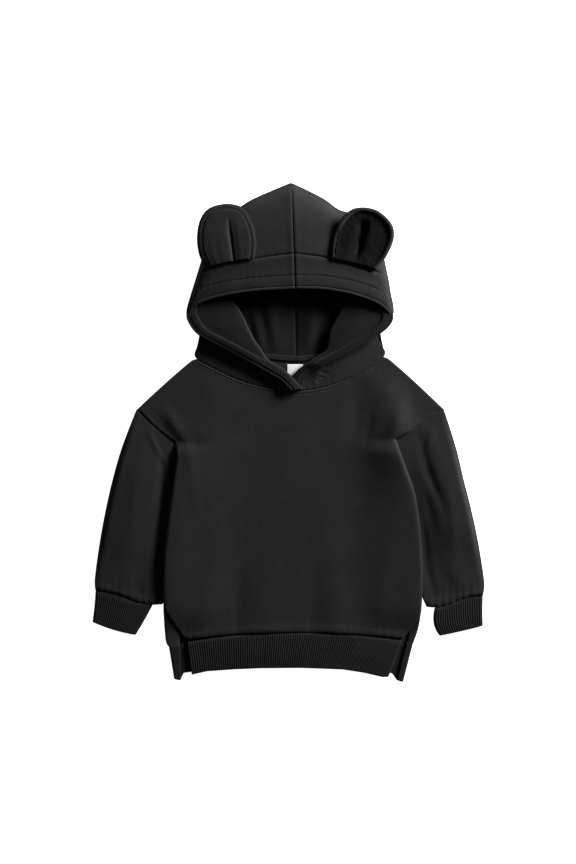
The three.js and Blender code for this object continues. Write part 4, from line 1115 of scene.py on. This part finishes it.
def sleeve(table, side):
    last = table.last
    fine = np.array([0.01, 0.03, 0.06, 0.12, 0.2, 0.32])
    places = np.concatenate([fine, np.linspace(0.45, last - 0.5, 62), last - fine[::-1] * 1.2])
    top = np.linspace(0, 1, 35)
    rows = []
    for place in places:
        row = table.at(place)
        inwards = 1 if side == "left" else -1
        row.innerX = row.innerX + inwards * UNDERARM_REACH * hump(place - 0.8, 0.7)

        def sag(share, place=place):
            total = np.zeros(len(share))
            for at_row, at_share, rows_wide, share_wide, lean, height in SLEEVE_FOLDS[side]:
                off = (share - at_share - (place - at_row) * lean) / share_wide
                total = total + height * np.exp(-(off**2) - ((place - at_row) / rows_wide) ** 2)
            return total + 0.25 * wander(share * 9 + place, 4.0) * np.sin(np.pi * share)

        puff = SLEEVE_PUFF[side] * row.puff * (1 - 0.6 * smoothstep(place, 4.5, 6.5))
        rows.append(flat_ring(line_of(row), top, 14, puff, sag))
    rows = np.array(rows)
    way = rows[0, :, :2] - rows[5, :, :2]
    rows[0, :, :2] += ARMHOLE_REACH * way / np.linalg.norm(way, axis=-1, keepdims=True)
    middle = rows[:, 20]
    from_armhole = lengths(middle)
    from_cuff = from_armhole[-1] - from_armhole
    on_top = smoothstep(rows[..., 2], 2.6, 3.4)
    fall = seam_fall(from_armhole) + seam_fall(from_cuff) + 0.9 * hump(from_cuff - 4.5, 4)
    fall = fall[:, None]
    wave = pucker(rows[..., 0], from_cuff[:, None], 5.0, 0.45, 9.5, 13)
    rows[..., 2] += on_top * (fall + wave)
    return wall(rows[::-1] if side == "left" else rows, ring=True)


def cuff(sleeve_table, table, side):
    seam = line_of(sleeve_table.at(sleeve_table.last))

    def below(share):
        return seam(np.asarray(share) * CUFF_SHARE) + (0, 0.4)

    lines = [below, line_of(table.at(0)), line_of(table.at(1))]
    width = np.hypot(*(below(1.0) - below(0.0)))
    top, height = rib_columns(width - 5)
    depths = np.array([0, 0.008, 0.025, 0.06, 0.12, 0.2, 0.32, 0.46, 0.6, 0.74, 0.86, 0.93, 0.97, 0.99, 1.0])
    rows = []
    for depth in depths:
        weights = (2 * (depth - 0.5) * (depth - 1), -4 * depth * (depth - 1), 2 * depth * (depth - 0.5))

        def line(share, weights=weights):
            return sum(w * each(share) for w, each in zip(weights, lines, strict=True))

        rows.append(flat_ring(line, top, 30))
    rows = np.array(rows)
    on_top = smoothstep(rows[..., 2], 2.6, 3.4)
    along = lengths(rows[:, 20])
    rows[..., 2] += on_top * seam_fall(along)[:, None]
    ribs = np.zeros(rows.shape[1])
    ribs[9 : 9 + len(top) - 2] = height[1:-1]
    soft = 1 - 0.75 * hump(along, 1.6) - 0.6 * hump(along[-1] - along, 1.0)
    over = RIB_CLOTH / 2 + ribs[None, :] * soft[:, None]
    flip = slice(None, None, -1) if side == "left" else slice(None)
    return wall(rows[flip], over[flip], RIB_CLOTH / 2, ring=True)


class HOODIE_OT_sleeves(bpy.types.Operator):
    """Add the two sleeves, flat tubes that reach under the body's sides"""

    bl_idname = "hoodie.sleeves"
    bl_label = "Sleeves"

    def execute(self, context):
        look = looks()
        for side, table in (("left", SLEEVE_LEFT), ("right", SLEEVE_RIGHT)):
            name = f"sleeve_{side}_cloth"
            mesh = cloth_mesh(name, *sleeve(table, side), ring=True)
            piece = add_piece(name, mesh, look.fleece, [f"sleeve_{side}"], "fleece")
        return {"FINISHED"}


class HOODIE_OT_cuffs(bpy.types.Operator):
    """Add the two ribbed cuffs"""

    bl_idname = "hoodie.cuffs"
    bl_label = "Cuffs"

    def execute(self, context):
        look = looks()
        for side, above, table in (("left", SLEEVE_LEFT, CUFF_LEFT), ("right", SLEEVE_RIGHT, CUFF_RIGHT)):
            name = f"cuff_{side}_cloth"
            mesh = cloth_mesh(name, *cuff(above, table, side), ring=True)
            piece = add_piece(name, mesh, look.rib, [f"cuff_{side}"], "rib", levels=0)
        return {"FINISHED"}


# Hood


def crown_height(share):
    dense = np.linspace(0, len(CROWN_FALL) - 1, 80)
    x, y = through(np.array(CROWN_FALL, float), dense).T
    return np.interp(share, x, y)


BAG_STATIONS = np.concatenate([[0, 0.012, 0.035, 0.07, 0.12, 0.19], np.linspace(0.28, 8, 66)])
HEM_PLACES = np.array([
    0, 0.4, 1, 1.9, 2.7, 3.3, 3.8, 4.5, 6, 8.5, 11, 13.5, 15.6, 16.5, 17.1, 17.7, 18.6, 20.5, 23,
])
SEAM_PLACES = np.array([-1, -0.62, -0.36, -0.2, -0.09, 0, 0.09, 0.2, 0.36, 0.62, 1])
SEAM_CLUSTER = 9.0
CROWN_RIDGE = 2.0
VISOR_LIFT = 2.5  # how much higher the front of the crown stands than its table says
NAPE_REACH = 1.4  # how far the hood's back reaches under the body's, into the seam
HALVES_MEET = 0.45  # how far each half reaches over its table's edge, into the seam
FOLD_TURNS = np.linspace(0, 1, 8)[1:-1]


# Soft folds of the hood's back, seen through the opening: x, y, width, length, lean, height
NAPE_FOLDS = (
    (-22, 140, 7, 40, 0.1, 3.2), (-40, 130, 6, 30, 0.25, 2.4), (-8, 128, 5, 22, -0.05, 1.2),
    (28, 135, 9, 34, -0.1, 2.6), (48, 120, 6, 26, -0.35, 2.2), (9, 130, 2.2, 60, 0, -1.2),
)


def nape_folds(x, y):
    total = np.zeros(np.shape(x))
    for at_x, at_y, wide, long, lean, height in NAPE_FOLDS:
        up = (y - at_y) / long
        across = (x - at_x + (y - at_y) * lean) / wide
        total = total + height * np.exp(-across * across - up * up)
    deep = 3.5 * smoothstep(y, 100, 185) * (1 - smoothstep(np.abs(x - 3), 25, 58))
    return np.maximum(total + deep, -0.2) * smoothstep(y, 97, 108)


def bag(table, seed):
    """The hood from the opening's edge over the crown to the nape, in rows from the centre seam to the side."""
    row = table.at(BAG_STATIONS)
    to_centre = np.sign(table.rows[0, 0] - table.rows[-1, 0])
    joined = HALVES_MEET * (1 - smoothstep(BAG_STATIONS, 0, 0.3)) * to_centre
    rim = np.stack([row.rimX + joined, row.rimY], -1)
    out = np.stack([row.foldX + joined, row.foldY], -1) - rim
    length = np.linalg.norm(out, axis=-1)
    radius = (row.fold - BACK_LEVEL) / 2
    crown = length - radius - FLEECE / 2  # from the opening's edge to where the fold starts to turn
    seam_x, seam_y = np.array(EAR_SEAM).T
    seam = np.full(len(length), 0.4)
    for _ in range(8):  # the share of the way out where each row meets the seam from ear to ear
        x = rim[:, 0] + out[:, 0] * seam
        seam = np.clip((np.interp(x, seam_x, seam_y) - rim[:, 1]) / np.maximum(out[:, 1], 1), 0.05, 1.4)
    seam_at = seam * length
    hem = np.minimum(HEM_PLACES[-1], 0.5 * crown)
    seam_at = np.clip(seam_at, hem + 0.2 * (crown - hem), crown - 0.15 * (crown - hem))
    cluster = np.minimum(SEAM_CLUSTER, 0.8 * np.minimum(seam_at - hem, crown - seam_at))
    hem_part = HEM_PLACES[None] / HEM_PLACES[-1] * hem[:, None]
    first = seam_at + SEAM_PLACES[0] * cluster
    gap_part = hem[:, None] + (first - hem)[:, None] * np.linspace(0, 1, 4)[None, 1:-1]
    seam_part = seam_at[:, None] + SEAM_PLACES[None] * cluster[:, None]
    end = seam_at + cluster
    rest_part = end[:, None] + (crown - end)[:, None] * np.linspace(0, 1, 20)[None, 1:]
    away = np.concatenate([hem_part, gap_part, seam_part, rest_part], 1)
    share = away / crown[:, None]
    rise = row.rise + VISOR_LIFT * (1 - smoothstep(BAG_STATIONS, 3, 7.5))
    z = row.fold[:, None] + (rise - row.fold)[:, None] * crown_height(share)
    xy = rim[:, None] + out[:, None] * (away / length[:, None])[..., None]

    centre = rim + out * (crown / length)[:, None]
    angle = np.pi / 2 - FOLD_TURNS * np.pi
    reach = radius[:, None] * np.cos(angle)[None] / length[:, None]
    fold_xy = centre[:, None] + out[:, None] * reach[..., None]
    fold_z = BACK_LEVEL + radius[:, None] * (1 + np.sin(angle)[None])
    k = np.linspace(0, 1, 26)
    back_end = np.stack([row.backX + joined, row.backY - NAPE_REACH * smoothstep(-row.backY, -101, -98)], -1)
    back_xy = centre[:, None] + (back_end - centre)[:, None] * k[None, :, None]
    back_xy[..., 0] += row.tuck[:, None] * 4 * k * (1 - k)
    back_z = BACK_LEVEL + nape_folds(back_xy[..., 0], back_xy[..., 1])

    weight = 1 - smoothstep(BAG_STATIONS, EAR_SEAM_END - 0.5, EAR_SEAM_END + 0.3)[:, None]
    from_seam = away - seam_at[:, None]
    from_centre = np.abs(xy[..., 0] - xy[:1, :, 0])
    at_x, at_y = xy[..., 0], xy[..., 1]
    relief = -1.5 * hump(from_seam, 1.5) + 0.5 * hump(from_seam + 4.5, 3.2) + 0.4 * hump(from_seam - 3, 2)
    relief = weight * relief
    relief = relief + weight * pucker(at_x, from_seam, seed, 0.35, 9.5, 9)
    full = np.minimum(1, hem / HEM_PLACES[-1])[:, None]
    at_hem = 2.2 * stitch_fall(away - 3.5) + 1.3 * stitch_fall(away - 17.2) + 0.5 * hump(away - 20, 2)
    relief = relief + full * at_hem
    relief = relief + full * 0.5 * hump(away - 1.6, 1.1)
    relief = relief + 0.3 * hump(away - 10, 5) * full
    relief = relief + full * pucker(at_x, away - 17, seed + 2, 0.16, 7.5, 5)
    relief = relief + (seam_fall(from_centre) + 0.45 * hump(from_centre - 3.5, 2.4)) * np.ones_like(away)
    relief = relief + pucker(at_y, from_centre, seed + 5, 0.3, 8.5, 8)
    relief = relief + 0.5 * wander(at_x / 23 + at_y / 60, seed) * smoothstep(from_seam, 4, 20) * (1 - share)
    high = np.sin(np.pi * np.clip(share, 0, 1)) * (1 - smoothstep(BAG_STATIONS, 5, 8))[:, None]
    relief = relief + CROWN_RIDGE * high * np.exp(-from_centre / 45)
    z = z + relief * (1 - smoothstep(share, 0.93, 1.0))
    back_centre = np.abs(back_xy[..., 0] - back_xy[:1, :, 0])
    back_z = back_z - 0.5 * hump(back_centre, 1.3)

    top = np.concatenate([xy, z[..., None]], -1)
    fold = np.concatenate([fold_xy, fold_z[..., None]], -1)
    back = np.concatenate([back_xy, back_z[..., None]], -1)
    doubled = 1 - smoothstep(away, HEM_DEPTH - 0.6, HEM_DEPTH + 0.6)
    under = np.full((len(away), away.shape[1] + fold.shape[1] + back.shape[1]), FLEECE / 2)
    under[:, : away.shape[1]] += HEM_EXTRA * doubled * full
    return np.concatenate([top, fold, back], 1), under, away.shape[1]


LAPEL_STATIONS = np.concatenate([[0, 0.015, 0.05, 0.11], np.linspace(0.2, 11, 104)])
LOW_PLACES = np.array([0, 0.008, 0.025, 0.055, 0.1, 0.16, 0.24, 0.33, 0.43, 0.54, 0.65, 0.78])
RIM_PLACES = np.array([
    19, 17, 15.2, 14.3, 13.7, 13.1, 12.2, 10, 7.5, 5.5, 4.3, 3.7, 3.2, 2.6, 1.8, 1, 0.4, 0,
])
WING_STITCH = 13.7
# The crease that runs down from the right band into the neck
NECK_CREASE = ((50, 86), (44, 78), (38, 67))


def lapel(table, on_right, seed):
    """A band of the hood from the neck seam to its roll and back to the opening's edge, from the throat up."""
    row = table.at(LAPEL_STATIONS)
    seam = np.stack([row.seamX, row.seamY], -1)
    roll = np.stack([row.rollX, row.rollY], -1)
    rim = np.stack([row.rimX, row.rimY], -1)
    wings = smoothstep(LAPEL_STATIONS, 2.5, 6) * (1 - smoothstep(LAPEL_STATIONS, 8.5, 10.5))
    if on_right:
        row.rimZ = row.rimZ + 2.5 * wings
    else:
        row.high = row.high + 3.0 * wings
    inward, outward = roll - seam, rim - roll
    out_length = np.linalg.norm(outward, axis=-1)
    towards = inward / np.linalg.norm(inward, axis=-1, keepdims=True) - outward / out_length[:, None]
    towards /= np.linalg.norm(towards, axis=-1, keepdims=True)
    radius = (row.high - row.low) / 2
    centre = roll - towards * radius[:, None]

    start = seam + (0, NECK_EASE * 0.3)
    low_xy = start[:, None] + (centre - start)[:, None] * LOW_PLACES[None, :, None]
    rise = smoothstep(LOW_PLACES, 0, 1)
    low_z = row.seamZ[:, None] + (row.low - row.seamZ)[:, None] * rise[None]
    from_seam = LOW_PLACES[None] * np.linalg.norm(centre - start, axis=-1)[:, None]
    up_neck = 1 - smoothstep(LAPEL_STATIONS, 6.8, 7.6)[:, None]
    low_z = low_z + up_neck * (seam_fall(from_seam) + pucker(low_xy[..., 0], from_seam, seed, 0.25, 8, 8))
    if on_right:
        side, along = near_line(low_xy[..., 0], low_xy[..., 1], NECK_CREASE)
        depth = np.sin(np.pi * np.clip(along, 0.02, 0.98)) ** 0.5
        low_z = low_z + depth * (-3.2 * hump(side, 1.9) + 3.0 * hump(side + 4.5, 3.2))

    turn = np.linspace(0, 1, 9)
    angle = -np.pi / 2 + turn * np.pi
    turn_xy = centre[:, None] + towards[:, None] * (radius[:, None] * np.cos(angle)[None])[..., None]
    turn_z = (row.low + radius)[:, None] + radius[:, None] * np.sin(angle)[None]

    size = np.linalg.norm(rim - centre, axis=-1)
    stretch = np.minimum(1, 0.8 * size / RIM_PLACES[0])
    from_rim = RIM_PLACES[None] * stretch[:, None]
    inner = (size - from_rim[:, 0])[:, None] * np.linspace(0, 1, 12)[None, 1:-1]
    place = np.concatenate([inner, size[:, None] - from_rim], 1)
    k = place / size[:, None]
    swell = 1.2 * 4 * k * (1 - k) * np.minimum(1, out_length / 40)[:, None]
    high_xy = centre[:, None] + (rim - centre)[:, None] * k[..., None]
    high_z = row.high[:, None] + (row.rimZ - row.high)[:, None] * k + swell
    distance = size[:, None] - place
    full = smoothstep(size, 6, 16)[:, None]
    at_x, at_y = high_xy[..., 0], high_xy[..., 1]
    relief = full * (1.5 * stitch_fall(distance - 3.6) + stitch_fall(distance - WING_STITCH) * 0.3)
    relief = relief + full * 0.2 * hump(distance - 1.6, 1.1)
    relief = relief + full * (0.3 * hump(distance - 8, 3.5))
    relief = relief + full * pucker(at_x + at_y, distance - WING_STITCH, seed + 3, 0.18, 8, 6)
    wide = smoothstep(size, 30, 60)[:, None]
    relief = relief + wide * 0.7 * wander(at_x / 17 - at_y / 29, seed + 1) * smoothstep(distance, 16, 30)
    high_z = high_z + relief

    rows = np.concatenate([
        np.concatenate([low_xy, low_z[..., None]], -1),
        np.concatenate([turn_xy, turn_z[..., None]], -1),
        np.concatenate([high_xy, high_z[..., None]], -1),
    ], 1)
    clear = smoothstep(LAPEL_STATIONS, CLEAR_ROWS - 1, CLEAR_ROWS)[:, None] if on_right else 1.0
    under = np.full(rows.shape[:2], FLEECE / 2)
    turned_in = smoothstep(distance, -1, 0.1) * (1 - smoothstep(distance, HEM_DEPTH - 4, HEM_DEPTH - 2))
    under[:, -distance.shape[1] :] += HEM_EXTRA * turned_in * clear * full
    return rows, under


def hood_half(side):
    """Both walls of a half of the hood and the runs of stitches along its opening."""
    on_right = side == "right"
    bag_rows, bag_under, crown_columns = bag(BAG_RIGHT if on_right else BAG_LEFT, 12.0 if on_right else 3.0)
    lapel_rows, lapel_under = lapel(LAPEL_RIGHT if on_right else LAPEL_LEFT, on_right, 8.0 if on_right else 6.0)
    if on_right:
        bag_rows, bag_under = bag_rows[::-1], bag_under[::-1]
        lapel_rows, lapel_under = lapel_rows[::-1], lapel_under[::-1]
    bag_faces = wall(bag_rows, FLEECE / 2, bag_under)
    lapel_faces = wall(lapel_rows, FLEECE / 2, lapel_under)
    runs = []
    first, second = (int(np.argmin(abs(HEM_PLACES - place))) for place in (3.5, 17.2))
    stations = len(BAG_STATIONS)
    bag_part = slice(14, stations - 4) if on_right else slice(4, stations - 14)
    bag_normals = normals_of(bag_rows)
    for column in (first, second):
        runs.append(thread_run(bag_faces[0][bag_part, column], bag_normals[bag_part, column]))
    lapel_normals = normals_of(lapel_rows)
    rim_columns = [int(np.argmin(abs(RIM_PLACES - place))) - len(RIM_PLACES) for place in (3.7, WING_STITCH)]
    stations = len(LAPEL_STATIONS)
    lapel_part = slice(8, stations - 6) if on_right else slice(6, stations - 8)
    for column in rim_columns:
        runs.append(thread_run(lapel_faces[1][lapel_part, column], -lapel_normals[lapel_part, column]))
    # The inside faces of the bag and band are marked for painted shade, which darkens the hood's inside and its
    # bands.
    bag_shaded_inside = np.arange(bag_rows.shape[1]) >= crown_columns + len(FOLD_TURNS)
    lapel_shaded_inside = np.arange(lapel_rows.shape[1]) >= len(LOW_PLACES) + 7
    inner = [mark[None].astype(float) for mark in (bag_shaded_inside, lapel_shaded_inside)]
    return bag_faces, lapel_faces, runs, bag_rows[:, :crown_columns], inner


def join_walls(first, second):
    """Joins two closed pieces into one, with nothing left inside, and marks the inner face again for its painted
    shade.
    """
    marked = [
        (vertex.co.copy(), mark.value)
        for piece in (first, second)
        for vertex, mark in zip(piece.data.vertices, piece.data.attributes["inner"].data, strict=True)
    ]
    tree = KDTree(len(marked))
    for index, (place, _) in enumerate(marked):
        tree.insert(place, index)
    tree.balance()
    bpy.ops.object.select_all(action="DESELECT")
    bpy.context.view_layer.objects.active = first
    first.select_set(True)
    union = first.modifiers.new("union", "BOOLEAN")
    union.operation = "UNION"
    union.solver = "MANIFOLD"
    union.object = second
    bpy.ops.object.modifier_apply(modifier=union.name)
    bpy.data.objects.remove(second)
    mesh = first.data
    if "inner" not in mesh.attributes:
        mesh.attributes.new("inner", "FLOAT", "POINT")
    found = [marked[tree.find(vertex.co)[1]][1] for vertex in mesh.vertices]
    mesh.attributes["inner"].data.foreach_set("value", found)
    bpy.ops.object.shade_smooth_by_angle(angle=np.radians(50))


class HOODIE_OT_hood(bpy.types.Operator):
    """Add the two halves of the hood, with the bands that cross at the throat"""

    bl_idname = "hoodie.hood"
    bl_label = "Hood"

    def execute(self, context):
        look = looks()
        for side in ("left", "right"):
            name = f"hood_{side}_cloth"
            bag_faces, lapel_faces, runs, _, inner = hood_half(side)
            mesh = cloth_mesh(name, *bag_faces, inner=inner[0])
            piece = add_piece(name, mesh, look.fleece, [f"hood_{side}"], "fleece")
            band_mesh = cloth_mesh(f"{name}_band", *lapel_faces, inner=inner[1])
            band = add_piece(f"{name}_band", band_mesh, look.fleece)
            join_walls(piece, band)
            thread_piece(f"hood_{side}_topstitch", runs, look.thread)
        return {"FINISHED"}


# Ears


def crown_under(rows, xy):
    """Height of the crown at given places, from the nearest of its points."""
    crown = rows.reshape(-1, 3)
    flat = xy.reshape(-1, 2)
    heights = np.empty(len(flat))
    for start in range(0, len(flat), 400):
        part = flat[start : start + 400]
        distance = ((part[:, None] - crown[None, :, :2]) ** 2).sum(-1)
        nearest = np.argpartition(distance, 4, axis=1)[:, :4]
        close = np.take_along_axis(distance, nearest, 1)
        weight = 1 / (close + 0.05)
        off = close.min(1) > 36
        heights[start : start + 400] = np.where(off, 0, (crown[nearest, 2] * weight).sum(1) / weight.sum(1))
    return heights.reshape(xy.shape[:-1])


def eased(count, edge=0.25):
    """Places from 0 to 1, closer together near both ends."""
    t = np.linspace(0, 1, count)
    return t - edge * np.sin(2 * np.pi * t) / (2 * np.pi) * 2


def ear_sheet(ear, crown, inset, lift, relief):
    around = smooth_line(ear.outline)
    sheet = patch(
        bottom=bowed_line(around(0.0), around(1.0), 2),
        top=lambda s: around(0.3 + 0.4 * np.asarray(s)),
        left=lambda s: around(0.3 * np.asarray(s)),
        right=lambda s: around(1 - 0.3 * np.asarray(s)),
    )
    margin = inset / 70
    u = margin + (1 - 2 * margin) * eased(66)[None, :]
    v = 0.015 + (1 - margin - 0.015) * eased(48)[:, None]
    xy = sheet(u, v)
    base = crown_under(crown, sheet(u, 0 * v)) + FLEECE + 0.6
    under = crown_under(crown, xy) + FLEECE + 0.6
    fall = base + (ear.tip - base) * (smoothstep(v, 0, 1) + v) / 2
    z = np.maximum(fall, under) + lift
    outline = np.array([around(s) for s in np.linspace(0, 1, 60)])
    border, _ = near_line(xy[..., 0], xy[..., 1], outline)
    side, along = near_line(xy[..., 0], xy[..., 1], ear.crease)
    z = z + relief(side, along, np.abs(border), xy)
    return np.concatenate([xy, z[..., None]], -1)


def left_ear_relief(side, along, border, xy):
    """The left lobe stands over the right one along the pleat, which side is negative left of."""
    strength = smoothstep(along, 0.0, 0.45)
    step = 0.4 * hump(side + 6.0, 6.0) - 4.2 * hump(side - 1.1, 1.4) - 1.0 * hump(side - 5.0, 4.0)
    fullness = 1.6 * smoothstep(border, 1, 10) - 1.0
    ridge = 0.6 * hump(border - 3.2, 1.6) - 0.5 * hump(border - 6.6, 0.9)
    return strength * step + fullness + ridge * smoothstep(xy[..., 1], 216, 224)


def right_ear_hollow(side, along, border, xy):
    """How far the inside of the right ear lies below its rim."""
    up = smoothstep(xy[..., 1], 216, 236)
    valley = -7.0 * hump(side - 1.0, 6.0) * smoothstep(along, 0.0, 0.16)
    return up * (valley - 1.5 * smoothstep(border, EAR_RIM - 1, EAR_RIM + 3)) + 1.5 * up


def right_outer_relief(side, along, border, xy):
    """A round rim that stands up round the lining."""
    t = np.clip((border - EAR_RIM / 2) / (EAR_RIM / 2), -1, 1)
    low_side = (1 - smoothstep(xy[..., 0], 62, 82)) * (1 - smoothstep(xy[..., 1], 252, 276))
    rim = 3.6 * np.sqrt(1 - t**2) * (border < EAR_RIM) * (1 - 0.7 * low_side)
    return rim + right_ear_hollow(side, along, border, xy)


def right_lining_relief(side, along, border, xy):
    gathers = 0.35 * np.sin((np.arctan2(xy[..., 1] - 245, xy[..., 0] - 95)) * 26) * hump(border - EAR_RIM, 6)
    lumps = 0.6 * wander(xy[..., 0] / 5 + xy[..., 1] / 9, 3.0) * wander(xy[..., 1] / 6, 8.0)
    return right_ear_hollow(side, along, border, xy) + gathers + lumps - 0.6 * hump(border - EAR_RIM, 2)


class HOODIE_OT_ears(bpy.types.Operator):
    """Add the two bear ears, each an outer layer and a lining"""

    bl_idname = "hoodie.ears"
    bl_label = "Ears"

    def execute(self, context):
        look = looks()
        layers = (
            ("left", "lining", EAR_LEFT, 2.0, 0.0, left_ear_relief, look.plush, "plush"),
            ("left", "outer", EAR_LEFT, 0.0, EAR_LIFT, left_ear_relief, look.fleece, "fleece"),
            ("right", "outer", EAR_RIGHT, 0.0, 0.0, right_outer_relief, look.fleece, "fleece"),
            ("right", "lining", EAR_RIGHT, EAR_RIM * 0.8, EAR_LIFT, right_lining_relief, look.plush, "plush"),
        )
        crowns = {side: hood_half(side)[3] for side in ("left", "right")}
        for side, layer, ear, inset, lift, relief, material, slot in layers:
            name = f"ear_{side}_{layer}_cloth"
            rows = ear_sheet(ear, crowns[side], inset, lift, relief)
            mesh = cloth_mesh(name, *wall(rows, EAR_CLOTH / 2, EAR_CLOTH / 2))
            levels = 0 if (side, layer) == ("left", "lining") else 1  # that lining lies hidden under its ear
            piece = add_piece(name, mesh, material, [f"ear_{side}_{layer}"], slot, levels=levels)
        return {"FINISHED"}


# Label and nape

ALLOWANCE_DEPTHS = (0.5, 1, 2, 3.2, 4.4, 5.6, 6.2, 6.6)  # rows of the nape's seam allowance, below the seam
OVERLOCK_REACH = (0.335, 0.715)  # the share of the nape seam that the overlocked stitches cover
OVERLOCK_LOOPS = 44


class HOODIE_OT_label(bpy.types.Operator):
    """Add the bare tape label at the nape and the overlocked seam above it"""

    bl_idname = "hoodie.label"
    bl_label = "Neck label"

    def execute(self, context):
        look = looks()
        x = np.linspace(LABEL.left, LABEL.right, 22)[None, :]
        y = np.linspace(LABEL.bottom, LABEL.top, 18)[:, None]
        z = LABEL.z + 0.25 * np.sin(x / 4) * (LABEL.top - y) / 20 + 0 * y
        rows = np.stack(np.broadcast_arrays(x + 0 * y, y + 0 * x, z), -1)
        half = LABEL.cloth / 2
        mesh = cloth_mesh("neck_label_tape", *wall(rows, half, half))
        piece = add_piece("neck_label_tape", mesh, look.label, ["neck_label"], "label")
        nape = smooth_line(NAPE_SEAM)
        share = np.linspace(0.33, 0.72, 90)
        low = nape(share)
        rows = np.stack([np.concatenate([low + (0, k), np.full((90, 1), 2.4 + 0.5 * np.sin(k))], 1)
                         for k in ALLOWANCE_DEPTHS])
        rows[..., 2] += 0.25 * wander(rows[..., 0] / 6, 2.0)
        mesh = cloth_mesh("nape_allowance", *wall(rows, 0.6, 0.6))
        strip = add_piece("nape_allowance", mesh, look.fleece, levels=0)
        count = OVERLOCK_LOOPS
        share = np.linspace(*OVERLOCK_REACH, count)
        at = nape(share)
        centre = np.concatenate([at + (0.0, 3.6), np.full((count, 1), 3.45)], 1)
        way = np.tile((0.12, 1.0, 0.0), (count, 1))
        up = np.tile((0.0, 0.0, 1.0), (count, 1))
        loops = bridges(centre, way, up, 6.6, 0.36)
        edge_line = nape(np.linspace(*OVERLOCK_REACH, 120)) + (0.3, 6.7)
        edge_path = np.concatenate([edge_line, np.full((120, 1), 3.1)], 1)
        edge = thread_run(edge_path, np.tile((0.0, 0.0, 1.0), (120, 1)), 1.1, 1.7, 0.4)
        thread_piece("nape_overlock", [loops, edge], look.thread)
        return {"FINISHED"}


# Stage


def area_light(name, place, target, size, power):
    data = bpy.data.lights.new(name, "AREA")
    data.shape = "RECTANGLE"
    data.size, data.size_y = size
    data.energy = power
    light = bpy.data.objects.new(name, data)
    light.location = place
    way = np.array(target, float) - np.array(place, float)
    light.rotation_euler = Vector(way).to_track_quat("-Z", "Y").to_euler()
    bpy.context.scene.collection.objects.link(light)


PHOTO_CENTRE = (-1.625, 0.0)  # on the chart, under the camera
CAMERA_HEIGHT = 3.0
PHOTO_HEIGHT = 1.1232  # metres of garment along the photograph's long side
SENSOR = 36.0


class HOODIE_OT_stage(bpy.types.Operator):
    """Add the pale floor, the soft lights and the camera straight above"""

    bl_idname = "hoodie.stage"
    bl_label = "Floor, lights and camera"

    def execute(self, context):
        scene = context.scene
        scene.view_settings.view_transform = "Standard"
        scene.view_settings.gamma = 0.8
        bpy.ops.mesh.primitive_plane_add(size=8, location=(0, 0, -0.0006))
        floor = context.object
        floor.name = "floor"
        paper = bpy.data.materials.new("White paper")
        paper.use_nodes = True
        shader = paper.node_tree.nodes["Principled BSDF"]
        shader.inputs["Base Color"].default_value = (0.5, 0.5, 0.5, 1)
        shader.inputs["Roughness"].default_value = 0.9
        shader.inputs["Emission Color"].default_value = (1, 1, 1, 1)
        shader.inputs["Emission Strength"].default_value = 0.98
        floor.data.materials.append(paper)
        world = bpy.data.worlds.new("Studio")
        world.use_nodes = True
        world.node_tree.nodes["Background"].inputs["Color"].default_value = (1, 1, 1, 1)
        world.node_tree.nodes["Background"].inputs["Strength"].default_value = 0.05
        scene.world = world
        area_light("key", (1.95, 1.4, 0.82), (0, 0.02, 0), (1.2, 0.62), 370)
        area_light("fill", (-1.7, 0.6, 1.6), (0, 0, 0), (1.2, 1.2), 7)
        data = bpy.data.cameras.new("camera")
        data.sensor_width = SENSOR
        data.lens = SENSOR * CAMERA_HEIGHT / PHOTO_HEIGHT
        camera = bpy.data.objects.new("camera", data)
        x, y = (np.array(PHOTO_CENTRE) + SHIFT[:2]) / 1000
        camera.location = (x, y, CAMERA_HEIGHT)
        scene.collection.objects.link(camera)
        scene.camera = camera
        return {"FINISHED"}


class HoodieSizes(bpy.types.PropertyGroup):
    """Sizes and colours that a user would change"""

    fleece: FloatVectorProperty(
        name="Fleece", description="Colour of the brushed fleece", default=(0.0155, 0.0155, 0.016), subtype="COLOR"
    )
    rib: FloatVectorProperty(
        name="Rib", description="Colour of the knitted ribs", default=(0.0108, 0.0108, 0.0112), subtype="COLOR"
    )
    plush: FloatVectorProperty(
        name="Plush", description="Colour of the ear lining", default=(0.0042, 0.0042, 0.0044), subtype="COLOR"
    )
    thread: FloatVectorProperty(
        name="Thread", description="Colour of the sewing thread", default=(0.045, 0.045, 0.046), subtype="COLOR"
    )
    label: FloatVectorProperty(
        name="Label", description="Colour of the bare label tape", default=(0.42, 0.42, 0.42), subtype="COLOR"
    )
    nap: FloatProperty(
        name="Nap", description="Depth of the brushed nap, in millimetres", default=0.5, min=0, max=3
    )


class HOODIE_PT_panel(bpy.types.Panel):
    """The hoodie's pieces in the sidebar"""

    bl_label = "Toddler hoodie"
    bl_space_type = "VIEW_3D"
    bl_region_type = "UI"
    bl_category = "Hoodie"

    def draw(self, context):
        for name in ("fleece", "rib", "plush", "thread", "label", "nap"):
            self.layout.prop(context.scene.hoodie, name)
        for step in STEPS:
            self.layout.operator(step.bl_idname)


STEPS = (
    HOODIE_OT_stage,
    HOODIE_OT_sleeves,
    HOODIE_OT_cuffs,
    HOODIE_OT_body,
    HOODIE_OT_hem_ribs,
    HOODIE_OT_hood,
    HOODIE_OT_ears,
    HOODIE_OT_label,
)
CLASSES = (HoodieSizes, *STEPS, HOODIE_PT_panel)


def register():
    for each in CLASSES:
        bpy.utils.register_class(each)
    bpy.types.Scene.hoodie = PointerProperty(type=HoodieSizes)


def unregister():
    del bpy.types.Scene.hoodie
    for each in reversed(CLASSES):
        bpy.utils.unregister_class(each)


def main():
    register()
    for step in STEPS:
        space, _, name = step.bl_idname.partition(".")
        getattr(getattr(bpy.ops, space), name)()


if __name__ == "__main__":
    main()
